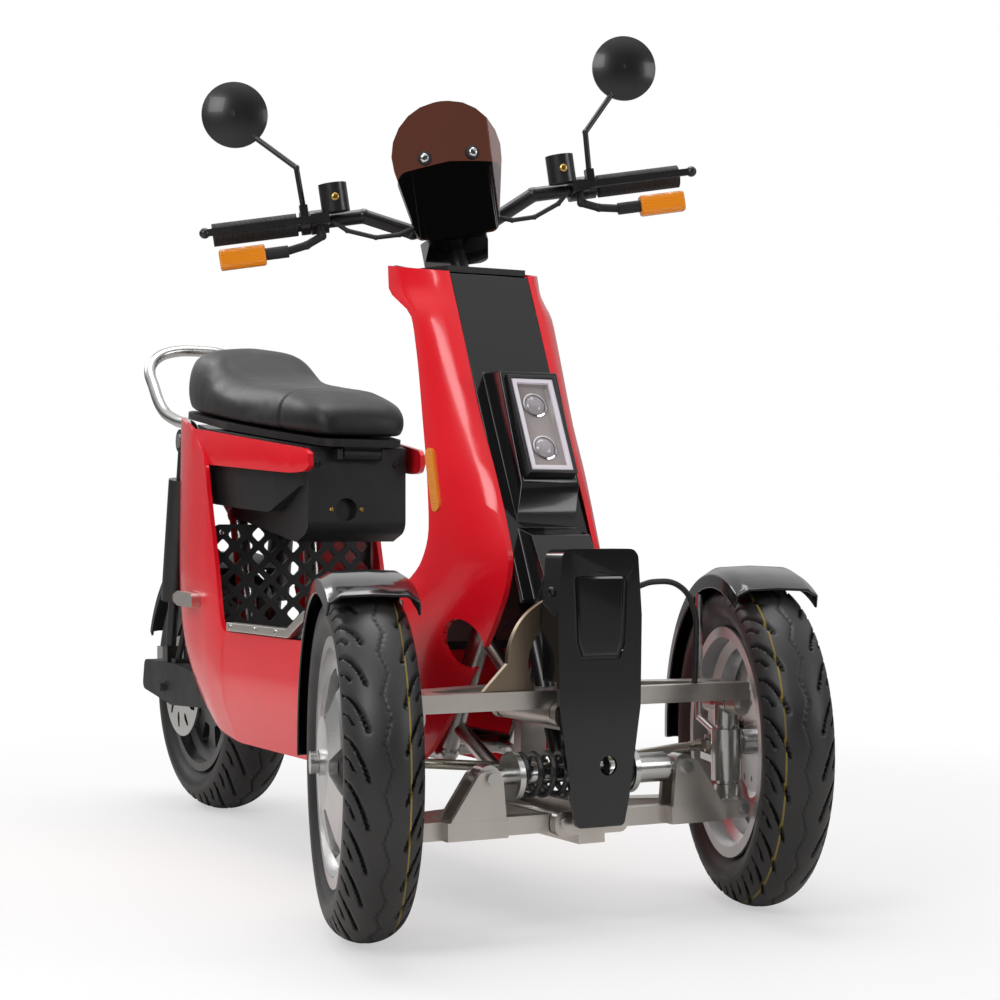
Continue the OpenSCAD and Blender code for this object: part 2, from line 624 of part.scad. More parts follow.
// Box under the saddle, with the charge socket in its front
box_x0 = rear_x + 262 + frame_r + weld_extra + seat_gap;
box_x1 = seat_front_x - 30;
box_half_w = 88;
function seat_plane_z(x) = seat_front_z + (seat_front_x - x) * tan(seat_slope);
module battery_box() {
    gap = 3;
    top = [[box_x1, seat_plane_z(box_x1) - gap, 0], [box_x0, seat_plane_z(box_x0) - gap, 0]];
    low = concat([[box_x0, 556, 0], [box_x1 - 50, 512, 20], [box_x1, 530, 24]], top);
    hip = concat([[box_x0, 580, 0], [box_x1 - 108, 562, 40], [box_x1 - 20, 606, 30], [box_x1, 610, 8]],
        top);
    plan = mirrored([[0, box_x0, 0], [136, box_x0, 0], [128, box_x0 + 140, 200], [110, box_x1 - 90,
        120], [box_half_w, box_x1, 26]]);
    color(MATT) difference() {
        union() {
            side_plate(rounded(low), -box_half_w, box_half_w);
            intersection() {
                side_plate(rounded(hip), -150, 150);
                translate([0, 0, 500]) linear_extrude(300) polygon([for (p = rounded(plan)) [p[1],
                    p[0]]]);
            }
            for (s = [-1, 1]) translate([box_x1 - 1, s * 40 - 5, seat_hinge[2] - 9])
                cube([seat_hinge[0] + 8 - box_x1, 10, 17]);
            pin_y(-44, 44, seat_hinge[0], seat_hinge[2], hinge_r);
        }
        pin_x(box_x1 - 12, box_x1 + 1, -20, 566, 19);
    }
}

// Saddle: a base that lifts on a hinge at its front, and the cushion on it
seat_hinge = [seat_front_x - 17, 0, seat_front_z - 11];
module at_seat() { translate([seat_front_x, 0, seat_front_z]) rotate([0, seat_slope, 0]) children(); }
seat_base_t = 12;
module seat_base() {
    l = seat_l;
    w = seat_half_w - 8;
    color(MATT) difference() {
        union() {
            at_seat() linear_extrude(seat_base_t) polygon(rounded([[0, -70, 30], [0, 70, 30], [-150,
                96, 80], [-330, w, 90],
                [-l + 60, w - 22, 90], [-l, 70, 40], [-l, -70, 40], [-l + 60, 22 - w, 90], [-330, -w,
                    90], [-150, -96, 80]]));
            pin_y(-33, 33, seat_hinge[0], seat_hinge[2], hinge_r + 4);
            translate([seat_hinge[0] - 6, -33, seat_hinge[2]]) cube([12, 66, 16]);
        }
        pin_y(-60, 60, seat_hinge[0], seat_hinge[2], hinge_r + run_gap);
    }
}
// Columns of the cushion's table: distance behind the front, half width, height
cushion_rows = [[2, 62, 30], [14, 80, 52], [50, 97, 66], [120, 110, 70], [220, 122, 69], [320, 128,
    70], [400, 129, 80],
    [440, 127, 97], [480, 123, 114], [540, 115, 122], [600, 101, 119], [632, 84, 104], [646, 66, 80]];
cushion_section = [[-0.9, 0], [-1, 0.3], [-0.98, 0.62], [-0.86, 0.86], [-0.6, 0.97], [0, 1],
    [0.6, 0.97], [0.86, 0.86], [0.98, 0.62], [1, 0.3], [0.9, 0]];
module seat_cushion() {
    k = seat_l / 650;
    j = seat_half_w / 128;
    color("#1c1b1b") at_seat() translate([0, 0,
        seat_base_t + seat_gap]) skin([for (r = eased(cushion_rows, 3))
        [for (p = cushion_section) [-r[0] * k, p[0] * r[1] * j, p[1] * r[2]]]]);
}

// Rail behind the saddle, from the ends of the frame's tubes
module grab_rail() {
    r = 11;
    left_run = frame_run(1);
    start = left_run[5] + unit(left_run[5] - left_run[4]) * seat_gap;
    run = [start, start + unit(left_run[5] - left_run[4]) * 40, [rear_x - 40, 100, 752], [rear_x - 128,
        108, 846],
        [rear_x - 148, 60, 882], [rear_x - 150, 0, 889]];
    color(ALLOY) difference() {
        union() {
            for (s = [-1, 1]) tube([for (p = run) [p[0], s * p[1], p[2]]], r);
            translate(run[5]) sphere(r = r + elbow_extra);
        }
        pin_y(-130, 130, rear_x + 70, 698, cross_r + seat_gap);
    }
}

// Tail lamp housing under the back of the saddle
module tail_unit() {
    x1 = rear_x + 70 - cross_r - seat_gap;
    color(GLOSS) side_plate(rounded([[x1, 684, 0], [x1, 722, 0], [rear_x - 4, 734, 6], [rear_x - 22,
        724, 6], [rear_x - 6, 668, 8],
        [x1 - 10, 668, 6]]), -50, 50);
}

// Swinging rear fork with the rear axle
leg_y0 = 92;
leg_y1 = 118;
leg_top_z = 282;
module swingarm() {
    leg = rounded([[rear_x + 272, 214, 8], [rear_x + 272, 262, 12], [rear_x + 64, leg_top_z, 40],
        [rear_x - 116, leg_top_z, 14],
        [rear_x - 128, 226, 14], [rear_x + 40, 204, 40]]);
    bar_x = rear_x + 256;
    color(MATT) difference() {
        union() {
            both_sides() side_plate(leg, leg_y0, leg_y1);
            pin_y(-leg_y0 - 1, leg_y0 + 1, bar_x, 240, 9);
            pin_y(-frame_y + 9, frame_y - 9, swing_pivot[0], swing_pivot[2], 14);
            translate([bar_x, -30, 232]) cube([swing_pivot[0] - bar_x, 60, 16]);
            pin_y(-axle_half_w - 16, axle_half_w + 16, rear_x, rear_tyre_r, rear_axle_r);
            pin_y(-frame_y - 8, frame_y + 8, swing_pivot[0], swing_pivot[2], swing_pin_r - run_gap);
        }
    }
}

// Two rear spring units between the swinging fork and the frame's rear cross tube
module rear_shocks() {
    top = [rear_x + 70, 104, 698];
    foot = [rear_x - 4, 104, leg_top_z + 18];
    color(GLOSS) both_sides() {
        difference() {
            union() {
                pin_y(top[1] - 9, top[1] + 9, top[0], top[2], cross_r + 9);
                rod(foot, top, 10);
                rod(foot + (top - foot) * 0.25, foot + (top - foot) * 0.82, 24);
                translate([foot[0] - 14, foot[1] - 11, leg_top_z + seat_gap]) cube([28, 22, 30]);
            }
            pin_y(top[1] - 20, top[1] + 20, top[0], top[2], cross_r + run_gap);
        }
    }
}

// Guard close over the rear tyre, held on the fork's legs
module rear_guard() {
    r = rear_tyre_r + 14;
    w = rear_tyre_w / 2 + 10;
    color(MATT) {
        at_rear_wheel() rotate([0, 0, 62]) rotate_extrude(angle = 96)
            polygon([[r - 22, -w], [r, -w + 4], [r + 5, -w + 20], [r + 5, w - 20], [r, w - 4], [r - 22,
                w],
                [r - 22, w - 4], [r - 4, w - 8], [r, w - 22], [r, 22 - w], [r - 4, 8 - w], [r - 22,
                    4 - w]]);
        both_sides() {
            rod([rear_x + 60, w, rear_tyre_r + r - 26], [rear_x + 40, leg_y1 - 14, leg_top_z + 6], 6);
            translate([rear_x + 30, leg_y1 - 24, leg_top_z + seat_gap]) cube([22, 20, 8]);
        }
    }
}

// Rear brake caliper on the right fork leg
module rear_caliper() {
    color(STEEL) difference() {
        translate([rear_x - 118, -leg_y0 + seat_gap, rear_tyre_r + 10]) cube([52, 22, 60]);
        pin_y(-leg_y0 - 30, leg_y0 + 30, rear_x, rear_tyre_r, rear_disc_r - 40);
        pin_y(-rear_disc_y - 5.5, 5.5 - rear_disc_y, rear_x, rear_tyre_r, rear_disc_r + 4);
    }
}
rear_disc_y = 81;

// Fold-up foot pegs on the rear shell
module passenger_pegs() {
    y = shell_y + 2;
    color(ALLOY) both_sides() side_plate(rounded([[rear_x + 316, 396, 8], [rear_x + 316, 420, 8],
        [rear_x + 240, 424, 10],
        [rear_x + 195, 412, 8], [rear_x + 240, 398, 10]]), y, y + 16);
}

// Handlebar with its stem, clamp and the crank that pushes the tie rods
bar_x = 322 - 650 + front_x;
bar_z = 1022;
clamp_z = 985;
crank_t = 10;
module at_stem_foot() { translate(steer_foot) rotate([0, -rake, 0]) children(); }
module handlebar() {
    color(GLOSS) with_bars() {
        rod(steer_foot - steer_dir * 15, stem_at(clamp_z), stem_r);
        at_stem_foot() {
            translate([0, 0, -4 - crank_t]) linear_extrude(crank_t) polygon(rounded([[20, -16, 8], [20,
                16, 8],
                [-crank_l + 2, crank_ball_y + 13, 12], [-crank_l - 13, crank_ball_y + 8, 12],
                [-crank_l - 13, -crank_ball_y - 8, 12], [-crank_l + 2, -crank_ball_y - 13, 12]]));
            for (s = [-1, 1]) translate([-crank_l, s * crank_ball_y, -6]) cylinder(h = 22,
                r = ball_pin_r);
        }
        translate([stem_x(clamp_z) - 20, -32, clamp_z - 14]) cube([44, 64, 30]);
        pin_y(-60, 60, bar_x, clamp_z + 4, bar_r);
        for (s = [-1, 1]) translate([bar_x, s * 60, clamp_z + 4]) sphere(r = bar_r + elbow_extra);
        for (s = [-1, 1]) tube([[bar_x, s * 60, clamp_z + 4], [bar_x, s * 130, bar_z], [bar_x,
            s * bar_half_w, bar_z]], bar_r);
    }
}

// Black cover round the stem below the clamp, and the hood in front of it
screen_r = 180;
screen_t = 4;
screen_x = 400 - 650 + front_x;
module stem_cover() {
    color(GLOSS) with_bars() {
        difference() {
            translate(stem_at(947)) rotate([0, -rake, 0]) linear_extrude(37)
                polygon(rounded([[-40, -50, 14], [44, -44, 14], [44, 44, 14], [-40, 50, 14]]));
            rod(stem_at(880), stem_at(1010), stem_r + run_gap);
            translate([stem_x(clamp_z) - 60, -80, clamp_z - 14 - seat_gap]) cube([160, 160, 60]);
        }
        difference() {
            intersection() {
                cross_plate(rounded(mirrored([[0, clamp_z - 14, 0], [58, clamp_z - 14, 10], [79, 1070,
                    14], [0, 1078, 0]])),
                    bar_x + 34, bar_x + 120);
                translate([screen_x - screen_r, 0, 900]) cylinder(h = 300,
                    r = screen_r - screen_t - seat_gap);
            }
        }
    }
}

// Smoked screen, curved round the hood
module windscreen() {
    color("#8a5a3c", 0.6) with_bars() intersection() {
        translate([screen_x - screen_r, 0, 900]) difference() {
            cylinder(h = 320, r = screen_r);
            translate([0, 0, -1]) cylinder(h = 322, r = screen_r - screen_t);
        }
        cross_plate(rounded(mirrored([[0, 966, 0], [60, 968, 14], [97, 1160, 76], [0, 1166, 0]])),
            bar_x, bar_x + 120);
    }
}

// Rubber grips on the bar's ends
module grips() {
    color("#1a1a1a") with_bars() both_sides() difference() {
        pin_y(230, bar_half_w + 4, bar_x, bar_z, 17);
        pin_y(229, bar_half_w, bar_x, bar_z, bar_r + run_gap);
    }
}

// Brake levers with their clamps and fluid reservoirs
module brake_levers() {
    color(GLOSS) with_bars() both_sides() {
        difference() {
            union() {
                pin_y(184, 210, bar_x, bar_z, 18);
                translate([bar_x, 184, bar_z - 8]) cube([46, 26, 16]);
                translate([bar_x + 30, 172, bar_z + 8 - 0.01]) cylinder(h = 42, r = 21);
                translate([0, 0, bar_z - 5]) linear_extrude(10) polygon([[bar_x + 30, 186],
                    [bar_x + 46, 186], [bar_x + 50, 240],
                    [bar_x + 46, 366], [bar_x + 37, 366], [bar_x + 38, 240]]);
                translate([bar_x + 41, 368, bar_z]) sphere(r = 8);
            }
            pin_y(100, 300, bar_x, bar_z, bar_r + run_gap);
        }
    }
}

// Round mirrors on bent stems
module mirrors() {
    foot = [bar_x + 12, 218, bar_z + 22];
    head = [bar_x - 10, 298, 1196];
    dome_r = (mirror_r * mirror_r + 13 * 13) / (2 * 13);
    color(GLOSS) with_bars() both_sides() {
        difference() {
            union() {
                pin_y(211, 225, bar_x, bar_z, 17);
                translate([bar_x + 2, 212, bar_z]) cube([19, 12, 26]);
            }
            pin_y(200, 240, bar_x, bar_z, bar_r + run_gap);
        }
        tube([foot, foot + [4, 2, 60], head + [5, -24, -36], head + [5, -14, -21]], 4.2);
        translate(head) rotate([0, 90, 0]) difference() {
            intersection() {
                cylinder(h = 18, r = mirror_r);
                translate([0, 0, 18 - dome_r]) sphere(dome_r);
            }
            translate([0, 0, -1]) cylinder(h = 3, r = mirror_r - 4);
        }
    }
}

// Direction indicators on stalks below the bar
lens_y = 284;
module indicators() {
    color(AMBER) with_bars() both_sides() side_plate(rounded([[bar_x + 20, 965, 9], [bar_x + 46, 965, 9],
        [bar_x + 46, 996, 9], [bar_x + 20, 996, 9]]), lens_y, lens_y + 68);
}
module indicator_stalks() {
    color(GLOSS) with_bars() both_sides() {
        pin_y(lens_y - 34, lens_y - seat_gap, bar_x + 33, 981, 9);
        tube([[bar_x + 33, lens_y - 30, 981], [bar_x + 28, 222, 987], [bar_x + 24, 197, 998],
            [bar_x + 24, 197, bar_z - 8 - seat_gap]], 6);
    }
}

// Leads under the bar, from the lever clamps to the hood
module bar_leads() {
    color(MATT) with_bars() both_sides() tube([[bar_x + 32, 180, 1018], [bar_x + 36, 160, 1000],
        [bar_x + 42, 120, 984], [bar_x + 47, 85, 983], [bar_x + 50, hood_half_w(990) + 0.4, 990]], 3.5);
}
function hood_half_w(z) = 58 + (79 - 58) * (z - clamp_z + 14) / (1070 - clamp_z + 14);

// A tie rod from the crank to one knuckle
eye_half_t = 6;
function rod_inner(side) = crank_ball(side) + steer_dir * 4;
function rod_outer(side) = knuckle_ball(side) + king_dir * 17;
module tie_rod(side) {
    p = rod_inner(side);
    q = rod_outer(side);
    u = unit(q - p);
    color(STEEL) difference() {
        union() {
            rod(p + u * 8, q - u * 12, 7);
            rod(p + u * 20, p + u * 46, 9);
            rod(p - steer_dir * eye_half_t, p + steer_dir * eye_half_t, 12);
            rod(q - king_dir * eye_half_t, q + king_dir * eye_half_t, 17);
        }
        rod(p - steer_dir * 30, p + steer_dir * 30, ball_pin_r + run_gap);
        rod(q - king_dir * 30, q + king_dir * 30, ball_pin_r + open_pivot_gap);
    }
}

// A knuckle turns on its kingpin and carries axle, steering arm, brake caliper and guard stay
sleeve_half = 36;
stay_back = 60;
stay_y = wheel_y - front_tyre_w / 2 - 9;
stay_top_z = front_tyre_r + sqrt(pow(front_tyre_r - 14 - seat_gap, 2) - pow(stay_back - 5, 2)) - 3;
sleeve_r = 21;
module knuckle(side) {
    c = kingpin_mid(side);
    color(STEEL) difference() {
        union() {
            with_knuckle(side) {
                rod(c - king_dir * sleeve_half, c + king_dir * sleeve_half, sleeve_r);
                tube([[kingpin_x - 14, side * (outer_pivot_y - 9), kingpin_mid_z + 28],
                    [front_x - stay_back, side * stay_y, 262],
                    [front_x - stay_back, side * stay_y, stay_top_z]], 5);
                translate([kingpin_x, side * outer_pivot_y, knuckle_arm_z]) {
                    translate([0, 0, -5]) linear_extrude(10) polygon([[0, -side * 14], [0, side * 14],
                        [-knuckle_arm_l - 9, side * (9 - knuckle_ball_in)], [-knuckle_arm_l - 9,
                            -side * (knuckle_ball_in + 9)]]);
                    translate([-knuckle_arm_l, -side * knuckle_ball_in, 0]) cylinder(h = 30,
                        r = ball_pin_r);
                }
            }
            at_front_wheel(side) {
                translate([0, 0, outer_pivot_y - wheel_y + 6]) cylinder(h = 22, r = 22);
                translate([0, 0,
                    outer_pivot_y - wheel_y + 6]) cylinder(h = wheel_y - outer_pivot_y + 54,
                        r = front_axle_r);
                translate([0, 0, 58]) cylinder(h = 10, r = 15);
                difference() {
                    translate([-96, -24, -24]) cube([50, 48, 44]);
                    translate([0, 0, front_disc_o - 4]) cylinder(h = 12, r = front_disc_r + 4);
                }
                translate([-80, -16, -24]) cube([80, 32, 6.5]);
            }
        }
        rod(c - king_dir * 60, c + king_dir * 60, kingpin_r + run_gap);
    }
}

// Guard over a front tyre, on the knuckle's stay
module front_guard(side) {
    r = front_tyre_r + 12;
    w = front_tyre_w / 2 + 11;
    color(GLOSS) at_front_wheel(side) mirror([0, side > 0 ? 1 : 0, 0]) {
        rotate([0, 0, 62]) rotate_extrude(angle = 122)
            polygon([[r - 26, -w], [r - 6, -w + 2], [r + 4, -w + 18], [r + 6, 0], [r + 4, w - 18],
                [r - 6, w - 2], [r - 26, w],
                [r - 26, w - 4], [r - 8, w - 6], [r, w - 20], [r + 2, 0], [r, 20 - w], [r - 8, 6 - w],
                    [r - 26, 4 - w]]);
    }
}

// A front wheel: rim with a dished five-window face, tyre and brake disc
module rim_barrel(r, w, t) {
    rotate_extrude() polygon([[r + 10, -w], [r + 10, 4 - w], [r, 7 - w], [r - 2, 22 - w], [r - 14,
        30 - w], [r - 14, w - 30],
        [r - 2, w - 22], [r, w - 7], [r + 10, w - 4], [r + 10, w], [r - t, w], [r - t - 2, w - 22],
            [r - t - 14, w - 30],
        [r - t - 14, 30 - w], [r - t - 2, 22 - w], [r - t, -w]]);
}
rim_half_w = 41;
front_disc_o = 0;
module front_rim(side) {
    hub_end = 57;
    color(ALLOY) at_front_wheel(side) difference() {
        union() {
            rim_barrel(rim_r, rim_half_w, 5);
            translate([0, 0, -16]) cylinder(h = hub_end + 16, r = front_axle_r + 7);
            translate([0, 0, front_disc_o + 4 + seat_gap]) cylinder(h = 30, r = 34);
            rotate_extrude() polygon([[16, 34], [60, 40], [112, 30], [rim_r - 8, 14], [rim_r - 6, 24],
                [112, 42], [60, 52], [16, 50]]);
        }
        translate([0, 0, -30]) cylinder(h = 120, r = front_axle_r + run_gap);
        for (i = [0:4]) rotate([0, 0, 72 * i]) translate([0, 0, 5]) linear_extrude(60)
            polygon(rounded([[62, -8, 7], [62, 8, 7], [122, 34, 9], [122, -34, 9]]));
    }
}
module tyre(r, w, bead_r, bead_w) {
    h = w / 2;
    rotate_extrude() polygon(concat([[bead_r + seat_gap, -bead_w], [bead_r + 12, -bead_w - 1]],
        [for (i = [-10:10]) let (a = i * 9) [r - (r - bead_r) * 0.52 * (1 - cos(a)), h * sin(a)]],
        [[bead_r + 12, bead_w + 1], [bead_r + seat_gap, bead_w], [bead_r + 22, bead_w - 8],
            [bead_r + 22, 8 - bead_w]]));
}
module front_tyre(side) {
    color("#191919") at_front_wheel(side) tyre(front_tyre_r, front_tyre_w, rim_r, rim_half_w - 8);
}
module front_disc(side) {
    color("#a8a8a6") at_front_wheel(side) translate([0, 0, front_disc_o]) difference() {
        cylinder(h = 4, r = front_disc_r);
        translate([0, 0, -1]) cylinder(h = 6, r = front_axle_r + 7 + run_gap);
        for (i = [0:11]) rotate([0, 0, 30 * i]) translate([front_disc_r - 10 - 8 * (i % 2), 0,
            -1]) cylinder(h = 6, r = 4);
    }
}

// Rear wheel: black rim, tyre and slotted disc
rear_rim_half_w = 50;
module rear_rim() {
    color(GLOSS) at_rear_wheel() difference() {
        union() {
            rim_barrel(rim_r, rear_rim_half_w, 5);
            translate([0, 0, -70]) cylinder(h = 146, r = 34);
            translate([0, 0, -44]) cylinder(h = 60, r = 70);
            rotate_extrude() polygon([[30, 8], [rim_r - 16, 8], [rim_r - 16, 20], [30, 24]]);
        }
        translate([0, 0, -100]) cylinder(h = 220, r = rear_axle_r + run_gap);
        for (i = [0:9]) rotate([0, 0, 36 * i]) translate([0, 0, 0]) linear_extrude(60)
            polygon(rounded([[80, -12, 6], [80, 12, 6], [126, 24, 8], [126, -24, 8]]));
    }
}
module rear_tyre() { color("#191919") at_rear_wheel() tyre(rear_tyre_r, rear_tyre_w, rim_r,
    rear_rim_half_w - 8); }
module rear_disc() {
    color("#a8a8a6") at_rear_wheel() translate([0, 0, rear_disc_y - 2]) difference() {
        union() {
            cylinder(h = 4, r = rear_disc_r);
            translate([0, 0,
                2 - rear_disc_y + 76 + seat_gap]) cylinder(h = rear_disc_y - 76 - seat_gap - 1, r = 32);
        }
        translate([0, 0, -20]) cylinder(h = 60, r = rear_axle_r + 6);
        for (i = [0:9]) rotate([0, 0, 36 * i]) translate([0, 0, -1]) linear_extrude(6)
            polygon(rounded([[46, -6, 4], [66, -3, 3], [82, 8, 4], [78, 14, 4], [58, 6, 3]]));
    }
}

over_origin() frame();
over_origin() fork_brackets();
over_origin() front_carrier();
over_origin() upper_arm(-1);  // upper_arm_right
over_origin() upper_arm(1);  // upper_arm_left
over_origin() lower_arm(-1);  // lower_arm_right
over_origin() lower_arm(1);  // lower_arm_left
over_origin() upright(-1);  // upright_right
over_origin() upright(1);  // upright_left
over_origin() tilt_lock_sector();
over_origin() shock_body();
over_origin() shock_spring();
over_origin() nose_panel();
over_origin() front_cable();
over_origin() side_reflectors();
over_origin() column_panel();
over_origin() head_lamp();
over_origin() leg_shield(-1);  // leg_shield_right
over_origin() leg_shield(1);  // leg_shield_left
over_origin() inner_shield();
over_origin() floor_board();
over_origin() foot_rails();
over_origin() rear_shell(-1);  // rear_shell_right
over_origin() rear_shell(1);  // rear_shell_left
over_origin() rear_grille();
over_origin() battery_box();
over_origin() grab_rail();
over_origin() tail_unit();
over_origin() swingarm();
over_origin() rear_shocks();
over_origin() rear_guard();
over_origin() rear_caliper();
over_origin() passenger_pegs();
over_origin() seat_base();
over_origin() seat_cushion();
over_origin() handlebar();
over_origin() stem_cover();
over_origin() windscreen();
over_origin() grips();
over_origin() brake_levers();
over_origin() mirrors();
over_origin() indicators();
over_origin() indicator_stalks();
over_origin() bar_leads();
over_origin() tie_rod(-1);  // tie_rod_right
over_origin() tie_rod(1);  // tie_rod_left
over_origin() knuckle(-1);  // knuckle_right
over_origin() knuckle(1);  // knuckle_left
over_origin() front_guard(-1);  // front_guard_right
over_origin() front_guard(1);  // front_guard_left
over_origin() front_rim(-1);  // front_rim_right
over_origin() front_rim(1);  // front_rim_left
over_origin() front_tyre(-1);  // front_tyre_right
over_origin() front_tyre(1);  // front_tyre_left
over_origin() front_disc(-1);  // front_disc_right
over_origin() front_disc(1);  // front_disc_left
over_origin() rear_rim();
over_origin() rear_tyre();
over_origin() rear_disc();
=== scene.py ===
"""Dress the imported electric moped: finishes, tyres with tread, a padded saddle, lamps, fasteners and the studio."""
import json
import logging
from dataclasses import dataclass, field
from enum import Enum
from math import cos, pi, radians, sin
from typing import Callable, Optional, Sequence

import bpy
import numpy as np
from mathutils import Matrix, Vector


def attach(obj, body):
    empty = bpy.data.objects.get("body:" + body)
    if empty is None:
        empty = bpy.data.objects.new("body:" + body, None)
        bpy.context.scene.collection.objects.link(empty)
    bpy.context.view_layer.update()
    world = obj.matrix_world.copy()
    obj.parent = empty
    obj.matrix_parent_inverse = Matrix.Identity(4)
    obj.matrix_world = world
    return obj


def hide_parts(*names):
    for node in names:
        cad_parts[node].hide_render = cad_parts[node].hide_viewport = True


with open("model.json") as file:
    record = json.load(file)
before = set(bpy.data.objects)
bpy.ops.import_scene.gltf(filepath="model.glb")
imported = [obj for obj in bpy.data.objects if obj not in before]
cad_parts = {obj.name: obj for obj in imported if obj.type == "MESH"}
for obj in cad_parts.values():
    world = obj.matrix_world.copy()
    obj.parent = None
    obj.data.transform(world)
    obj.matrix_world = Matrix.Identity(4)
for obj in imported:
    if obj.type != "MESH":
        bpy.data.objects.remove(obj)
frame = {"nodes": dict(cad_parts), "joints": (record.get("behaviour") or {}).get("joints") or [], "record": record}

LOG = logging.getLogger("moped")
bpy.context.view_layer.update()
MIDDLE_Y = -0.0185
Colour = tuple[float, float, float]
Point = tuple[float, float, float]
Step = Callable[[], object]
Insets = tuple[tuple[float, float], ...]
Nodes = bpy.types.NodeTree
Socket = bpy.types.NodeSocket

# Patches of colour and smears of gloss: features in a metre, ramp stops, shares of the mean roughness
PATCH_SCALE = 9.0
PATCH_STOPS = (0.30, 0.72)
SMEAR_SCALE = 26.0
SMEAR_RANGE = (0.75, 1.3)
# Surfaces: how brushing draws out the grain, refraction, the painted shade in the bottom of tread cuts, and the
# colour of the backdrop
BRUSHED_STRETCH = (0.06, 0.06, 1.0)
GLASS_IOR = 1.47
GROOVE_SHADE_COLOUR = (0.0015, 0.0015, 0.0015, 1.0)
WHITE = (1.0, 1.0, 1.0, 1.0)
# Merging a node's loose triangles: gap in metres and angle in degrees
MERGE_GAP = 0.00002
FLAT_ANGLE = 0.4
# Tyre sections: share of the height that the crown falls, degrees between its points, arc length to half width
CROWN_FALL = 0.52
CROWN_STEP = 3
ARC_SHARE = 0.93
# Tread cuts: sloping share of a cut, reach and fade from the crown, the depth at which the painted shade is darkest,
# the line's half width
GROOVE_FLANK = 0.45
TREAD_REACH = 0.036
TREAD_FADE = 0.006
DARKEST_SHADE_DEPTH = 0.0030
LINE_HALF = 0.0007


def mm(x: float, y: float, z: float) -> Vector:
    """Return a point of the CAD, in its millimetres from the middle plane, in metres of the shared frame."""
    return Vector((x / 1000, y / 1000 + MIDDLE_Y, z / 1000))


STEER_FOOT = mm(650, 0, 220)
STEER_AXIS = Vector((-sin(radians(23)), 0.0, cos(radians(23))))
BARS = (Matrix.Translation(STEER_FOOT) @ Matrix.Rotation(radians(-22), 4, STEER_AXIS)
        @ Matrix.Translation(-STEER_FOOT))
COLUMN = Matrix.Translation(mm(442, 0, 904)) @ Matrix.Rotation(radians(-25.3), 4, "Y")


class Grain(Enum):
    """The fine surface relief of a finish."""

    PAINT = "paint"
    MOULDED = "moulded"
    BRUSHED = "brushed"
    CAST = "cast"
    RUBBER = "rubber"
    LEATHER = "leather"
    RIBBED = "ribbed"
    CLEAR = "clear"


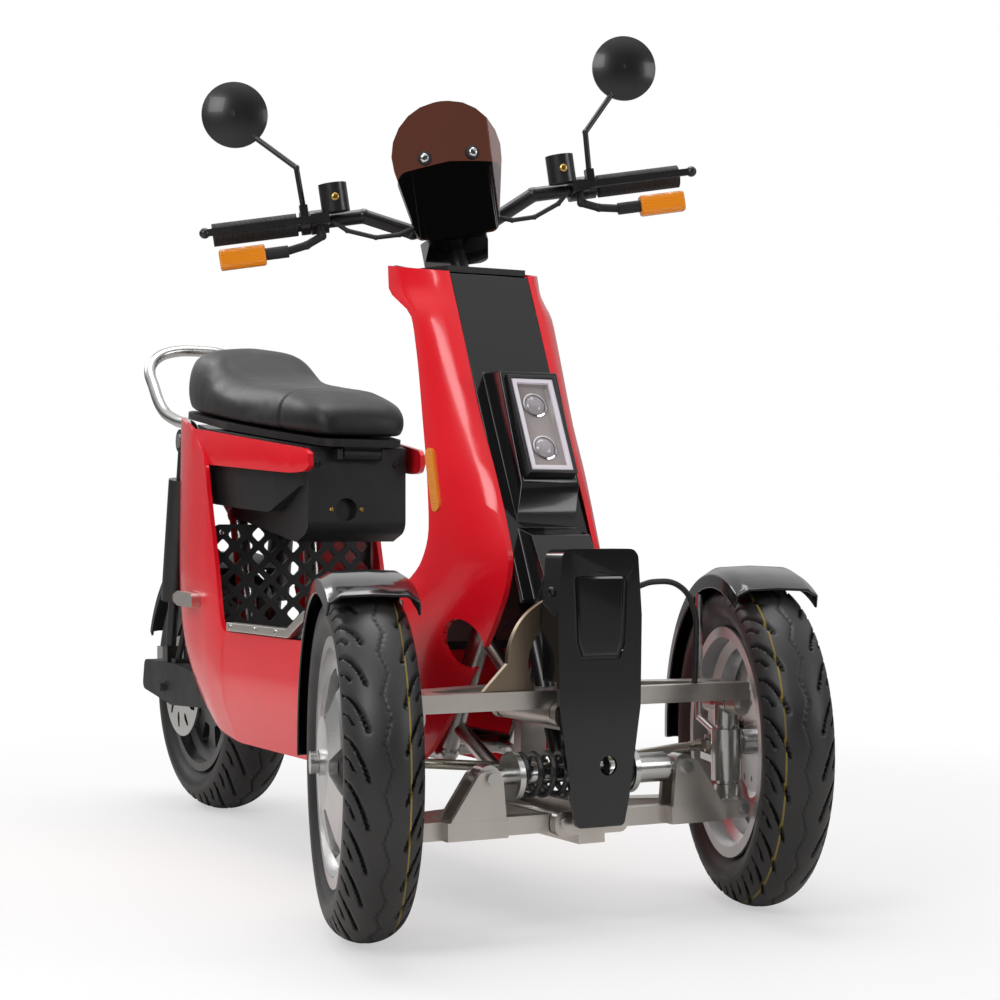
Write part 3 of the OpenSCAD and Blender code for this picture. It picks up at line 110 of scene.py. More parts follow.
@dataclass(frozen=True)
class Finish:
    """One surface finish, built as a node material on Object coordinates.

    Attributes:
        name: The material's name.
        colour: Linear base colour.
        roughness: Mean roughness.
        grain: The relief that the surface carries.
        metallic: Share of metal.
        mottle: Share by which the colour varies over the surface.
        coat: Weight of a clear lacquer.
        transmission: Share of light that passes through.
        depth: Height of the relief in metres.
        scale: Relief features in a metre.
        along: Axis across the ribs of a ribbed relief.
        painted_shade_by: The attribute whose painted shade darkens the colour, as in the bottom of a tread's cuts.
    """

    name: str
    colour: Colour
    roughness: float
    grain: Grain
    metallic: float = 0.0
    mottle: float = 0.12
    coat: float = 0.0
    transmission: float = 0.0
    depth: float = 0.0001
    scale: float = 900.0
    along: str = "Z"
    painted_shade_by: str = ""

    def build(self) -> bpy.types.Material:
        """Make the material, or return it when it exists.

        Returns:
            The finished material.
        """
        title = "finish_" + self.name
        if title in bpy.data.materials:
            return bpy.data.materials[title]
        material = bpy.data.materials.new(title)
        material.use_nodes = True
        tree = material.node_tree
        shader = tree.nodes["Principled BSDF"]
        shader.inputs["Metallic"].default_value = self.metallic
        shader.inputs["IOR"].default_value = GLASS_IOR
        shader.inputs["Coat Weight"].default_value = self.coat
        shader.inputs["Coat Roughness"].default_value = 0.04
        shader.inputs["Transmission Weight"].default_value = self.transmission
        where = tree.nodes.new("ShaderNodeTexCoord").outputs["Object"]
        self._colour(tree, where, shader)
        self._roughness(tree, where, shader)
        if self.grain is not Grain.CLEAR:
            self._relief(tree, where, shader)
        return material

    def _noise(self, tree: Nodes, where: Socket, scale: float, detail: float) -> Socket:
        """Add a noise texture.

        Args:
            tree: The material's nodes.
            where: The coordinates it reads.
            scale: Features in a metre.
            detail: Octaves of the noise.

        Returns:
            The noise's value, from 0 to 1.
        """
        noise = tree.nodes.new("ShaderNodeTexNoise")
        noise.inputs["Scale"].default_value = scale
        noise.inputs["Detail"].default_value = detail
        tree.links.new(where, noise.inputs["Vector"])
        return noise.outputs["Fac"]

    def _colour(self, tree: Nodes, where: Socket, shader: bpy.types.Node) -> None:
        """Vary the base colour over the surface, and darken it with painted shade where an attribute gives the share.

        Args:
            tree: The material's nodes.
            where: The coordinates the variation reads.
            shader: The principled shader.
        """
        ramp = tree.nodes.new("ShaderNodeValToRGB")
        shares = (1.0 - self.mottle, 1.0 + self.mottle)
        for element, stop, share in zip(ramp.color_ramp.elements, PATCH_STOPS, shares):
            element.position = stop
            element.color = (*(min(c * share, 1.0) for c in self.colour), 1.0)
        tree.links.new(self._noise(tree, where, PATCH_SCALE, 6.0), ramp.inputs["Fac"])
        colour = ramp.outputs["Color"]
        # Painted shade: an attribute darkens the colour, as at the bottom of the tread's cuts.
        if self.painted_shade_by:
            cut = tree.nodes.new("ShaderNodeAttribute")
            cut.attribute_name = self.painted_shade_by
            shaded_colour = tree.nodes.new("ShaderNodeMix")
            shaded_colour.data_type = "RGBA"
            shaded_colour.inputs["B"].default_value = GROOVE_SHADE_COLOUR
            tree.links.new(cut.outputs["Fac"], shaded_colour.inputs["Factor"])
            tree.links.new(colour, shaded_colour.inputs["A"])
            colour = shaded_colour.outputs["Result"]
        tree.links.new(colour, shader.inputs["Base Color"])

    def _roughness(self, tree: Nodes, where: Socket, shader: bpy.types.Node) -> None:
        """Vary the roughness with soft smears.

        Args:
            tree: The material's nodes.
            where: The coordinates the variation reads.
            shader: The principled shader.
        """
        spread = tree.nodes.new("ShaderNodeMapRange")
        spread.inputs["To Min"].default_value = max(self.roughness * SMEAR_RANGE[0], 0.02)
        spread.inputs["To Max"].default_value = min(self.roughness * SMEAR_RANGE[1], 1.0)
        tree.links.new(self._noise(tree, where, SMEAR_SCALE, 4.0), spread.inputs["Value"])
        tree.links.new(spread.outputs["Result"], shader.inputs["Roughness"])

    def _relief(self, tree: Nodes, where: Socket, shader: bpy.types.Node) -> None:
        """Add the fine relief as a bump.

        Args:
            tree: The material's nodes.
            where: The coordinates the relief reads.
            shader: The principled shader.
        """
        if self.grain is Grain.BRUSHED:
            stretch = tree.nodes.new("ShaderNodeMapping")
            stretch.inputs["Scale"].default_value = BRUSHED_STRETCH
            tree.links.new(where, stretch.inputs["Vector"])
            height = self._noise(tree, stretch.outputs["Vector"], self.scale, 2.0)
        elif self.grain is Grain.RIBBED:
            wave = tree.nodes.new("ShaderNodeTexWave")
            wave.bands_direction = self.along
            wave.inputs["Scale"].default_value = self.scale
            wave.inputs["Distortion"].default_value = 0.0
            tree.links.new(where, wave.inputs["Vector"])
            height = wave.outputs["Fac"]
        elif self.grain is Grain.LEATHER:
            cells = tree.nodes.new("ShaderNodeTexVoronoi")
            cells.feature = "DISTANCE_TO_EDGE"
            cells.inputs["Scale"].default_value = self.scale
            tree.links.new(where, cells.inputs["Vector"])
            height = cells.outputs["Distance"]
        else:
            height = self._noise(tree, where, self.scale, 4.0 if self.grain is Grain.CAST else 2.0)
        bump = tree.nodes.new("ShaderNodeBump")
        bump.inputs["Strength"].default_value = 0.6
        bump.inputs["Distance"].default_value = self.depth
        tree.links.new(height, bump.inputs["Height"])
        tree.links.new(bump.outputs["Normal"], shader.inputs["Normal"])


RED_PAINT = Finish("red_paint", (0.72, 0.006, 0.016), 0.20,
                   Grain.PAINT, mottle=0.04, coat=0.25, depth=0.00003, scale=260)
BLACK_GLOSS = Finish("black_gloss", (0.005, 0.005, 0.006), 0.12,
                     Grain.PAINT, coat=0.35, depth=0.00002, scale=240)
BLACK_MATT = Finish("black_matt", (0.011, 0.011, 0.012), 0.50, Grain.MOULDED, depth=0.00016, scale=1500)
ALLOY = Finish("cut_alloy", (0.62, 0.585, 0.545), 0.34,
               Grain.BRUSHED, metallic=1.0, mottle=0.08, depth=0.00005, scale=2400)
CAST_ALLOY = Finish("cast_alloy", (0.62, 0.62, 0.62), 0.30,
                    Grain.CAST, metallic=1.0, mottle=0.08, depth=0.00006, scale=700)
STEEL = Finish("bright_steel", (0.56, 0.56, 0.55), 0.24,
               Grain.BRUSHED, metallic=1.0, mottle=0.1, depth=0.00004, scale=1600)
CHROME = Finish("chrome", (0.74, 0.74, 0.74), 0.08, Grain.CLEAR, metallic=1.0, mottle=0.03)
ZINC = Finish("zinc_plate", (0.64, 0.61, 0.52), 0.28,
              Grain.CAST, metallic=1.0, mottle=0.16, depth=0.00005, scale=500)
BRASS = Finish("brass", (0.58, 0.38, 0.12), 0.26,
               Grain.CAST, metallic=1.0, mottle=0.14, depth=0.00004, scale=600)
RUBBER = Finish("tyre_rubber", (0.014, 0.013, 0.013), 0.55,
                Grain.RUBBER, mottle=0.25, depth=0.00025, scale=700)
# Tyre rubber with painted shade in the bottom of its cuts.
TREAD = Finish("tread_rubber", (0.021, 0.020, 0.020), 0.44,
               Grain.RUBBER, mottle=0.25, depth=0.0002, scale=700, painted_shade_by="tread_cut")
GRIP = Finish("grip_rubber", (0.010, 0.010, 0.010), 0.62, Grain.RIBBED, depth=0.0008, scale=45, along="Y")
LEATHER = Finish("black_leather", (0.009, 0.009, 0.010), 0.46,
                 Grain.LEATHER, mottle=0.15, depth=0.00030, scale=520)
SCREEN = Finish("smoked_screen", (0.100, 0.034, 0.022), 0.04, Grain.CLEAR, transmission=1.0, mottle=0.03)
AMBER = Finish("amber_lens", (0.86, 0.27, 0.005), 0.12,
               Grain.RIBBED, transmission=0.2, coat=0.5, mottle=0.08, depth=0.0006, scale=70)
LENS = Finish("clear_lens", (0.62, 0.58, 0.62), 0.06, Grain.CLEAR, transmission=0.6, coat=0.4, mottle=0.05)
LAMP_BED = Finish("lamp_bed", (0.29, 0.25, 0.25), 0.30,
                  Grain.MOULDED, mottle=0.10, coat=0.3, depth=0.00008, scale=900)
LIGHT_FRAME = Finish("light_frame", (0.66, 0.61, 0.67), 0.35,
                     Grain.MOULDED, mottle=0.05, coat=0.4, depth=0.00005, scale=1200)
RED_LENS = Finish("red_lens", (0.42, 0.004, 0.006), 0.10,
                  Grain.RIBBED, transmission=0.2, coat=0.5, depth=0.0006, scale=60)
BRONZE = Finish("bronze_plate", (0.27, 0.215, 0.155), 0.38,
                Grain.BRUSHED, metallic=1.0, mottle=0.18, depth=0.00006, scale=1500)
BLACK_METAL = Finish("black_metal", (0.010, 0.010, 0.011), 0.32,
                     Grain.CAST, mottle=0.2, coat=0.2, depth=0.00008, scale=900)
LINE_PAINT = Finish("line_paint", (0.20, 0.14, 0.02), 0.7, Grain.RUBBER, mottle=0.4, depth=0.0002, scale=700)

BY_SLOT: dict[str, Finish] = {
    "red_panel": RED_PAINT, "gloss_black": BLACK_GLOSS, "matte_black": BLACK_MATT, "bare_alloy": ALLOY,
    "bright_steel": STEEL, "tyre_rubber": RUBBER, "grip_rubber": GRIP, "seat_leather": LEATHER,
    "smoked_screen": SCREEN, "amber_lens": AMBER, "lamp_lens": LENS, "bronze_plate": BRONZE,
    "black_metal": BLACK_METAL,
}


def slot_of(node: str) -> str:
    """Return the record's material slot of a CAD node."""
    return next(s["material_slot"] for s in frame["record"]["subparts"] if s["node"] == node)


def body_with(node: str) -> str:
    """Return the body that carries a CAD node."""
    return next(b for b, nodes in frame["record"]["behaviour"]["bodies"].items() if node in nodes)


def joint_place(name: str) -> tuple[Vector, Vector]:
    """Return a joint's point and axis at rest, in metres.

    Args:
        name: The joint's name.

    Returns:
        The point and the unit axis.
    """
    joint = next(j for j in frame["joints"] if j["name"] == name)
    return Vector(joint["pos_m"]), Vector(joint["axis"]).normalized()


def hold(obj: bpy.types.Object) -> None:
    """Select one object alone and make it active."""
    bpy.ops.object.select_all(action="DESELECT")
    obj.select_set(True)
    bpy.context.view_layer.objects.active = obj


class Pick(Enum):
    """What an operator in edit mode is given."""

    EDGES = "edges"
    FACES = "faces"


def work(steps: Sequence[Step]) -> None:
    """Run operators in edit mode, in order, on what is selected."""
    bpy.ops.object.mode_set(mode="EDIT")
    for step in steps:
        step()
    bpy.ops.object.mode_set(mode="OBJECT")


def edit(obj: bpy.types.Object, *steps: Step) -> None:
    """Run operators in edit mode on all of one mesh.

    Args:
        obj: The mesh object.
        steps: Calls of operators, run in order with everything selected first.
    """
    hold(obj)
    work((lambda: bpy.ops.mesh.select_mode(type="VERT"), lambda: bpy.ops.mesh.select_all(action="SELECT"), *steps))


def pick(obj: bpy.types.Object, kind: Pick, chosen: Sequence[bool]) -> None:
    """Select some edges or faces of one mesh and nothing else.

    Args:
        obj: The mesh object.
        kind: Whether edges or faces are chosen.
        chosen: One value an edge or a face.
    """
    hold(obj)
    mesh = obj.data
    bpy.context.tool_settings.mesh_select_mode = (False, kind is Pick.EDGES, kind is Pick.FACES)
    for part in (mesh.vertices, mesh.edges, mesh.polygons):
        part.foreach_set("select", [False] * len(part))
    (mesh.edges if kind is Pick.EDGES else mesh.polygons).foreach_set("select", chosen)


def carve(obj: bpy.types.Object, test: Callable[[bpy.types.MeshPolygon], bool], *steps: Step) -> None:
    """Run operators in edit mode on the faces of a mesh that pass a test.

    Args:
        obj: The mesh object.
        test: Says whether a face is worked on.
        steps: Calls of operators, run in order on what is selected.
    """
    pick(obj, Pick.FACES, [bool(test(face)) for face in obj.data.polygons])
    work(steps)


def is_front(face: bpy.types.MeshPolygon) -> bool:
    """Say whether a face looks along X."""
    return face.normal.x > 0.9


def dye(obj: bpy.types.Object, index: int) -> None:
    """Give the faces selected in edit mode one of the piece's finishes."""
    obj.active_material_index = index
    bpy.ops.object.material_slot_assign()


def settle(obj: bpy.types.Object) -> None:
    """Write an object's place, turn and size into its mesh."""
    hold(obj)
    bpy.ops.object.transform_apply(location=True, rotation=True, scale=True)


def block(name: str, low: Vector, high: Vector) -> bpy.types.Object:
    """Add a box between two corners.

    Args:
        name: The new object's name.
        low: The lowest corner in metres.
        high: The highest corner.

    Returns:
        The box.
    """
    bpy.ops.object.select_all(action="DESELECT")
    bpy.ops.mesh.primitive_cube_add(size=1.0, location=(low + high) / 2)
    obj = bpy.context.active_object
    obj.name = name
    obj.scale = high - low
    settle(obj)
    return obj


def drum(name: str, radius: float, depth: float, sides: int = 32) -> bpy.types.Object:
    """Add a round block that stands on the origin and faces along X.

    Args:
        name: The new object's name.
        radius: Its radius in metres.
        depth: Its height along X.
        sides: Points round it.

    Returns:
        The block.
    """
    bpy.ops.object.select_all(action="DESELECT")
    bpy.ops.mesh.primitive_cylinder_add(vertices=sides, radius=radius, depth=depth,
                                        location=(depth / 2, 0.0, 0.0), rotation=(0.0, pi / 2, 0.0))
    obj = bpy.context.active_object
    obj.name = name
    settle(obj)
    return obj


def set_down(obj: bpy.types.Object, place: Matrix) -> None:
    """Move a piece to its place and write the place into its mesh."""
    obj.matrix_world = place
    settle(obj)


def facing(place: Vector, toward: Vector) -> Matrix:
    """Return the place at a point whose X axis looks in a direction."""
    return Matrix.Translation(place) @ toward.to_track_quat("X", "Z").to_matrix().to_4x4()


def join(pieces: Sequence[bpy.types.Object], name: str) -> bpy.types.Object:
    """Join pieces into the first of them.

    Args:
        pieces: The pieces.
        name: The joined object's name.

    Returns:
        The joined object.
    """
    hold(pieces[0])
    for piece in pieces:
        piece.select_set(True)
    bpy.ops.object.join()
    pieces[0].name = name
    return pieces[0]


def insets(pairs: Insets) -> list[Step]:
    """Return the steps that inset the selected faces, one for each pair of width and height."""
    return [lambda width=width, height=height: bpy.ops.mesh.inset(thickness=width, depth=height, use_even_offset=True)
            for width, height in pairs]


def apply_all(obj: bpy.types.Object) -> None:
    """Apply every modifier of an object, in order."""
    hold(obj)
    for modifier in list(obj.modifiers):
        bpy.ops.object.modifier_apply(modifier=modifier.name)


def smooth(obj: bpy.types.Object, angle: float = 35.0) -> None:
    """Shade an object smooth, with edges sharper than the angle kept."""
    hold(obj)
    bpy.ops.object.shade_smooth_by_angle(angle=radians(angle))


def copy_of(node: str, name: str) -> bpy.types.Object:
    """Copy a CAD node's mesh into a new object and merge its loose triangles.

    Args:
        node: The CAD node.
        name: The new object's name.

    Returns:
        The new object.
    """
    mesh = frame["nodes"][node].data.copy()
    mesh.materials.clear()
    obj = bpy.data.objects.new(name, mesh)
    bpy.context.scene.collection.objects.link(obj)
    edit(obj, lambda: bpy.ops.mesh.remove_doubles(threshold=MERGE_GAP),
         lambda: bpy.ops.mesh.dissolve_limited(angle_limit=radians(FLAT_ANGLE)))
    return obj


def finish_piece(obj: bpy.types.Object, body: str, finish: Finish, slot: str, *nodes: str) -> bpy.types.Object:
    """Give a new piece its finish, its body and the nodes that it stands for.

    Args:
        obj: The piece.
        body: The body that it rides on.
        finish: Its finish.
        slot: The record's material slot; not used.
        nodes: CAD nodes that it replaces.

    Returns:
        The same piece.
    """
    if not obj.data.materials:
        obj.data.materials.append(finish.build())
    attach(obj, body)
    if nodes:
        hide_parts(*nodes)
    LOG.info("%s rides on %s", obj.name, body)
    return obj


@dataclass
class SoftEdges:
    """A rigid node shown with the rounded edges of its moulding or casting.

    Attributes:
        node: The CAD node.
        width: Width of the rounded edge in metres.
        angle: Edges sharper than this are rounded.
        shortest: Edges shorter than this are left.
        front_only: Whether only the outer edge of the front face is rounded.
    """

    node: str
    width: float = 0.0015
    angle: float = 40.0
    shortest: float = 0.002
    front_only: bool = False

    def build(self) -> bpy.types.Object:
        """Copy the node, round its edges and let the copy stand for it.

        Returns:
            The piece.
        """
        obj = copy_of(self.node, self.node + "_dressed")
        pick(obj, Pick.EDGES, self._chosen(obj.data))
        work([lambda: bpy.ops.mesh.bevel(offset=self.width, segments=3, profile=0.5, clamp_overlap=True,
                                         affect="EDGES")])
        smooth(obj, self.angle)
        level = obj.modifiers.new("level", "WEIGHTED_NORMAL")
        level.mode = "FACE_AREA"
        level.weight = 60
        level.keep_sharp = True
        apply_all(obj)
        slot = slot_of(self.node)
        return finish_piece(obj, body_with(self.node), BY_SLOT[slot], slot, self.node)

    def _chosen(self, mesh: bpy.types.Mesh) -> list[bool]:
        """Say of each edge whether it is rounded.

        Args:
            mesh: The merged mesh.

        Returns:
            One value an edge.
        """
        sides: dict[tuple[int, int], list[bpy.types.MeshPolygon]] = {}
        for face in mesh.polygons:
            for key in face.edge_keys:
                sides.setdefault(key, []).append(face)
        corners = [v.co for v in mesh.vertices]
        front = max(c.x for c in corners)
        middle = sum(corners, Vector()) / len(corners)
        chosen = []
        for edge in mesh.edges:
            faces = sides.get(edge.key, [])
            a, b = (corners[i] for i in edge.vertices)
            keep = (len(faces) == 2 and (a - b).length > self.shortest
                    and faces[0].normal.angle(faces[1].normal, 0.0) > radians(self.angle))
            if keep and self.front_only:
                out = (a + b) / 2 - middle
                keep = min(a.x, b.x) > front - 0.0002 and any(
                    f.normal.x < 0.5 and f.normal.y * out.y + f.normal.z * out.z > 0 for f in faces)
            chosen.append(keep)
        return chosen


@dataclass
class Groove:
    """One cut of a tread, along a line in a pitch of the tyre.

    Attributes:
        line: Points as (share of the pitch, distance from the middle in metres).
        width: Half of its width in metres.
        depth: Its depth in metres.
        sides: The sides of the tread that carry it.
    """

    line: tuple[tuple[float, float], ...]
    width: float
    depth: float
    sides: tuple[int, ...] = (-1, 1)

    def pressed(self, around: np.ndarray, across: np.ndarray, pitch: float, side: int) -> np.ndarray:
        """Return how deep the cut is at each point, on one side of the tread.

        Args:
            around: Distance round the tread in metres.
            across: Distance from the middle along the section, in metres.
            pitch: Length of one repeat of the pattern.
            side: 1 or -1.

        Returns:
            The depths in metres.
        """
        cut = np.zeros_like(around)
        base = np.mod(around + (0.5 * pitch if side > 0 else 0.0), pitch)
        for lap in (-1, 0, 1, 2):
            s = base + lap * pitch
            for (u0, v0), (u1, v1) in zip(self.line, self.line[1:]):
                a = np.array((u0 * pitch, side * v0))
                ab = np.array((u1 * pitch, side * v1)) - a
                t = np.clip(((s - a[0]) * ab[0] + (across - a[1]) * ab[1]) / max(ab @ ab, 1e-12), 0, 1)
                gap = np.hypot(s - a[0] - t * ab[0], across - a[1] - t * ab[1])
                share = np.clip((self.width - gap) / (self.width * GROOVE_FLANK), 0, 1)
                cut = np.maximum(cut, self.depth * share)
        return cut


@dataclass
class Tyre:
    """A tyre spun from its section, with the tread's cuts pressed into it.

    Attributes:
        node: The CAD node that it stands for.
        joint: The wheel's spin joint, which gives the axle.
        radius: Outer radius in metres.
        width: Width over the tread in metres.
        bead: Radius at the rim.
        bead_half: Half of the width at the rim.
        pitches: Repeats of the tread's pattern.
        grooves: The pattern's cuts.
        line_at: Place of the coloured line across the tread, or None.
        steps: Points round the tyre.
    """

    node: str
    joint: str
    radius: float
    width: float
    bead: float
    bead_half: float
    pitches: int
    grooves: tuple[Groove, ...]
    line_at: Optional[float] = None
    steps: int = 660

    def section(self) -> list[tuple[float, float]]:
        """Return the closed section as points of radius and offset along the axle.

        Returns:
            The points in order round the section.
        """
        half = self.width / 2
        fall = (self.radius - self.bead) * CROWN_FALL
        crown = [(self.radius - fall * (1 - cos(a)), half * sin(a))
                 for a in map(radians, range(-90, 91, CROWN_STEP))]
        end_r = crown[-1][0]
        foot_r, foot_y = self.bead + 0.012, self.bead_half + 0.001
        wall = [(end_r + (foot_r - end_r) * t, half + (foot_y - half) * t * t) for t in (0.3, 0.6, 1.0)]
        seat = [(self.bead + 0.0003, self.bead_half), (self.bead + 0.022, self.bead_half - 0.008)]
        right = [(r, -y) for r, y in reversed(wall)]
        return [(r, -y) for r, y in reversed(seat)] + right + crown + wall + seat

    def _pressed(self, around: np.ndarray, across: np.ndarray) -> np.ndarray:
        """Return how deep the tread is cut at each point.

        Args:
            around: Distance round the tread in metres.
            across: Distance from the middle along the section, in metres.

        Returns:
            The depths in metres.
        """
        pitch = 2 * pi * self.radius / self.pitches
        return np.max([groove.pressed(around, across, pitch, side)
                       for groove in self.grooves for side in groove.sides], axis=0)

    def build(self) -> bpy.types.Object:
        """Spin the section, press the tread and dress the tyre.

        Returns:
            The tyre.
        """
        centre, axle = joint_place(self.joint)
        out = axle.cross(Vector((1.0, 0.0, 0.0))).normalized()
        points = self.section()
        bpy.ops.object.select_all(action="DESELECT")
        bpy.ops.mesh.primitive_circle_add(vertices=len(points), radius=self.bead, fill_type="NOTHING")
        obj = bpy.context.active_object
        obj.name = self.node + "_tread"
        for vertex, (r, y) in zip(obj.data.vertices, points):
            vertex.co = centre + out * r + axle * y
        edit(obj, lambda: bpy.ops.mesh.spin(steps=self.steps, angle=2 * pi, center=centre, axis=axle),
             lambda: bpy.ops.mesh.select_all(action="SELECT"),
             lambda: bpy.ops.mesh.remove_doubles(threshold=0.00005),
             lambda: bpy.ops.mesh.normals_make_consistent(inside=False))
        self._press(obj, centre, axle, out)
        smooth(obj, 60)
        return finish_piece(obj, body_with(self.node), TREAD, "tyre_rubber", self.node)

    def _press(self, obj: bpy.types.Object, centre: Vector, axle: Vector, out: Vector) -> None:
        """Move the tread's points in by the depth of its cuts, store the painted shade of the cuts, and lay the
        coloured line.

        Args:
            obj: The spun tyre.
            centre: The wheel's centre.
            axle: The axle's direction.
            out: A direction square to the axle.
        """
        count = len(obj.data.vertices)
        co = np.zeros(count * 3)
        obj.data.vertices.foreach_get("co", co)
        co = co.reshape(-1, 3)
        local = co - np.array(centre)
        across = local @ np.array(axle)
        radial = local - np.outer(across, np.array(axle))
        r = np.linalg.norm(radial, axis=1)
        side = np.array(axle.cross(out))
        around = (np.arctan2(radial @ side, radial @ np.array(out)) + pi) * self.radius
        half = self.width / 2
        depth = self._pressed(around, ARC_SHARE * half * np.arcsin(np.clip(across / half, -1.0, 1.0)))
        depth *= np.clip((r - self.radius + TREAD_REACH) / TREAD_FADE, 0.0, 1.0)
        co -= radial / r[:, None] * depth[:, None]
        obj.data.vertices.foreach_set("co", co.ravel())
        # Painted shade: the share of the cut's depth darkens the tread's colour in its cuts.
        shade = obj.data.attributes.new("tread_cut", "FLOAT", "POINT")
        shade.data.foreach_set("value", np.minimum(depth / DARKEST_SHADE_DEPTH, 1.0))
        obj.data.update()
        if self.line_at is not None:
            obj.data.materials.append(TREAD.build())
            obj.data.materials.append(LINE_PAINT.build())
            for face in obj.data.polygons:
                offset = (face.center - centre).dot(axle)
                if abs(offset - self.line_at) < LINE_HALF and (face.center - centre).length > self.radius * 0.85:
                    face.material_index = 1


FRONT_TREAD = (
    Groove(((0.0, 0.0), (0.25, 0.0042), (0.5, 0.0), (0.75, -0.0042), (1.0, 0.0)), 0.0016, 0.0020, (1,)),
    Groove(((0.00, 0.060), (0.10, 0.049), (0.34, 0.038), (0.64, 0.029), (0.98, 0.022)), 0.0027, 0.0055),
    Groove(((0.46, 0.060), (0.56, 0.050), (0.78, 0.042)), 0.0023, 0.0048),
)
REAR_TREAD = (
    Groove(((0.0, 0.0), (0.25, 0.005), (0.5, 0.0), (0.75, -0.005), (1.0, 0.0)), 0.0020, 0.0036, (1,)),
    Groove(((0.0, 0.070), (0.12, 0.057), (0.42, 0.043), (0.80, 0.028), (1.06, 0.020)), 0.0034, 0.0055),
    Groove(((0.44, 0.070), (0.56, 0.058), (0.82, 0.047)), 0.0028, 0.0048),
)


TYRES = (
    *(Tyre(f"front_tyre_{side}", f"front_wheel_{side}_spin", 0.232, 0.100, 0.153, 0.033, 24, FRONT_TREAD, line_at)
      for side, line_at in (("right", 0.029), ("left", -0.029))),
    Tyre("rear_tyre", "rear_wheel_spin", 0.236, 0.124, 0.153, 0.041, 22, REAR_TREAD),
)


@dataclass
class Saddle:
    """The padded leather saddle.

    Attributes:
        voxel: Size of the remesh in metres.
        pressure: Filling pressure of the cloth.
        cap: Furthest that a point may swell, in metres.
        shrink: How far the start lies inside the solid, in metres.
        stiffness: Bending stiffness of the cover.
        frames: Frames that the filling runs.
        under: Faces that look further down than this rest on the base.
        rounding: Smoothing steps before the filling.
        calming: Smoothing steps that take the folds out of the tight cover.
        seam_x: Place of the sewn cross seam, in metres.
        seam_width: Half of the seam's width.
        seam_depth: How far the seam draws the cover in.
    """

    voxel: float = 0.006
    pressure: float = 4.0
    cap: float = 0.010
    shrink: float = 0.004
    stiffness: float = 12.0
    frames: int = 20
    under: float = -0.75
    rounding: int = 8
    calming: int = 24
    seam_x: float = -0.118
    seam_width: float = 0.007
    seam_depth: float = 0.0028

    def build(self) -> bpy.types.Object:
        """Fill the cushion as cloth and dress it.

        Returns:
            The saddle's cushion.
        """
        obj = copy_of("seat_cushion", "saddle")
        remesh = obj.modifiers.new("even", "REMESH")
        remesh.mode = "VOXEL"
        remesh.voxel_size = self.voxel
        apply_all(obj)
        self._relax(obj)
        self._fill(obj)
        soften = obj.modifiers.new("round", "SUBSURF")
        soften.levels = soften.render_levels = 1
        apply_all(obj)
        self._sew(obj)
        smooth(obj, 80)
        piece = finish_piece(obj, "seat", LEATHER, "seat_leather", "seat_cushion")
        return piece

    def _even_out(self, obj: bpy.types.Object, steps: int) -> None:
        """Smooth the cover by a number of steps."""
        even = obj.modifiers.new("even_out", "SMOOTH")
        even.factor = 0.5
        even.iterations = steps
        apply_all(obj)

    def _relax(self, obj: bpy.types.Object) -> None:
        """Round the remeshed form a little and draw it in."""
        self._even_out(obj, self.rounding)
        edit(obj, lambda: bpy.ops.transform.shrink_fatten(value=-self.shrink))

    def _sew(self, obj: bpy.types.Object) -> None:
        """Draw the cover in along the cross seam."""
        for vertex in obj.data.vertices:
            share = 1.0 - abs(vertex.co.x - self.seam_x) / self.seam_width
            if share > 0:
                vertex.co -= vertex.normal * self.seam_depth * share

    def _fill(self, obj: bpy.types.Object) -> None:
        """Swell the cover with the cloth simulation and cap how far it moves.

        Args:
            obj: The remeshed cushion.
        """
        before = np.zeros(len(obj.data.vertices) * 3)
        obj.data.vertices.foreach_get("co", before)
        before = before.reshape(-1, 3)
        pins = obj.vertex_groups.new(name="underside")
        down = [v.index for v in obj.data.vertices if v.normal.z < self.under]
        pins.add(down, 1.0, "REPLACE")
        cloth = obj.modifiers.new("fill", "CLOTH")
        cloth.settings.quality = 5
        cloth.settings.use_pressure = True
        cloth.settings.uniform_pressure_force = self.pressure
        cloth.settings.vertex_group_mass = pins.name
        cloth.settings.effector_weights.gravity = 0.0
        cloth.settings.bending_stiffness = self.stiffness
        for number in range(1, self.frames + 1):
            bpy.context.scene.frame_set(number)
        apply_all(obj)
        bpy.context.scene.frame_set(1)
        after = np.zeros(len(obj.data.vertices) * 3)
        obj.data.vertices.foreach_get("co", after)
        move = after.reshape(-1, 3) - before
        length = np.linalg.norm(move, axis=1, keepdims=True)
        move *= np.minimum(1.0, self.cap / np.maximum(length, 1e-9))
        obj.data.vertices.foreach_set("co", (before + move).ravel())
        obj.data.update()
        self._even_out(obj, self.calming)
        LOG.info("saddle filled")


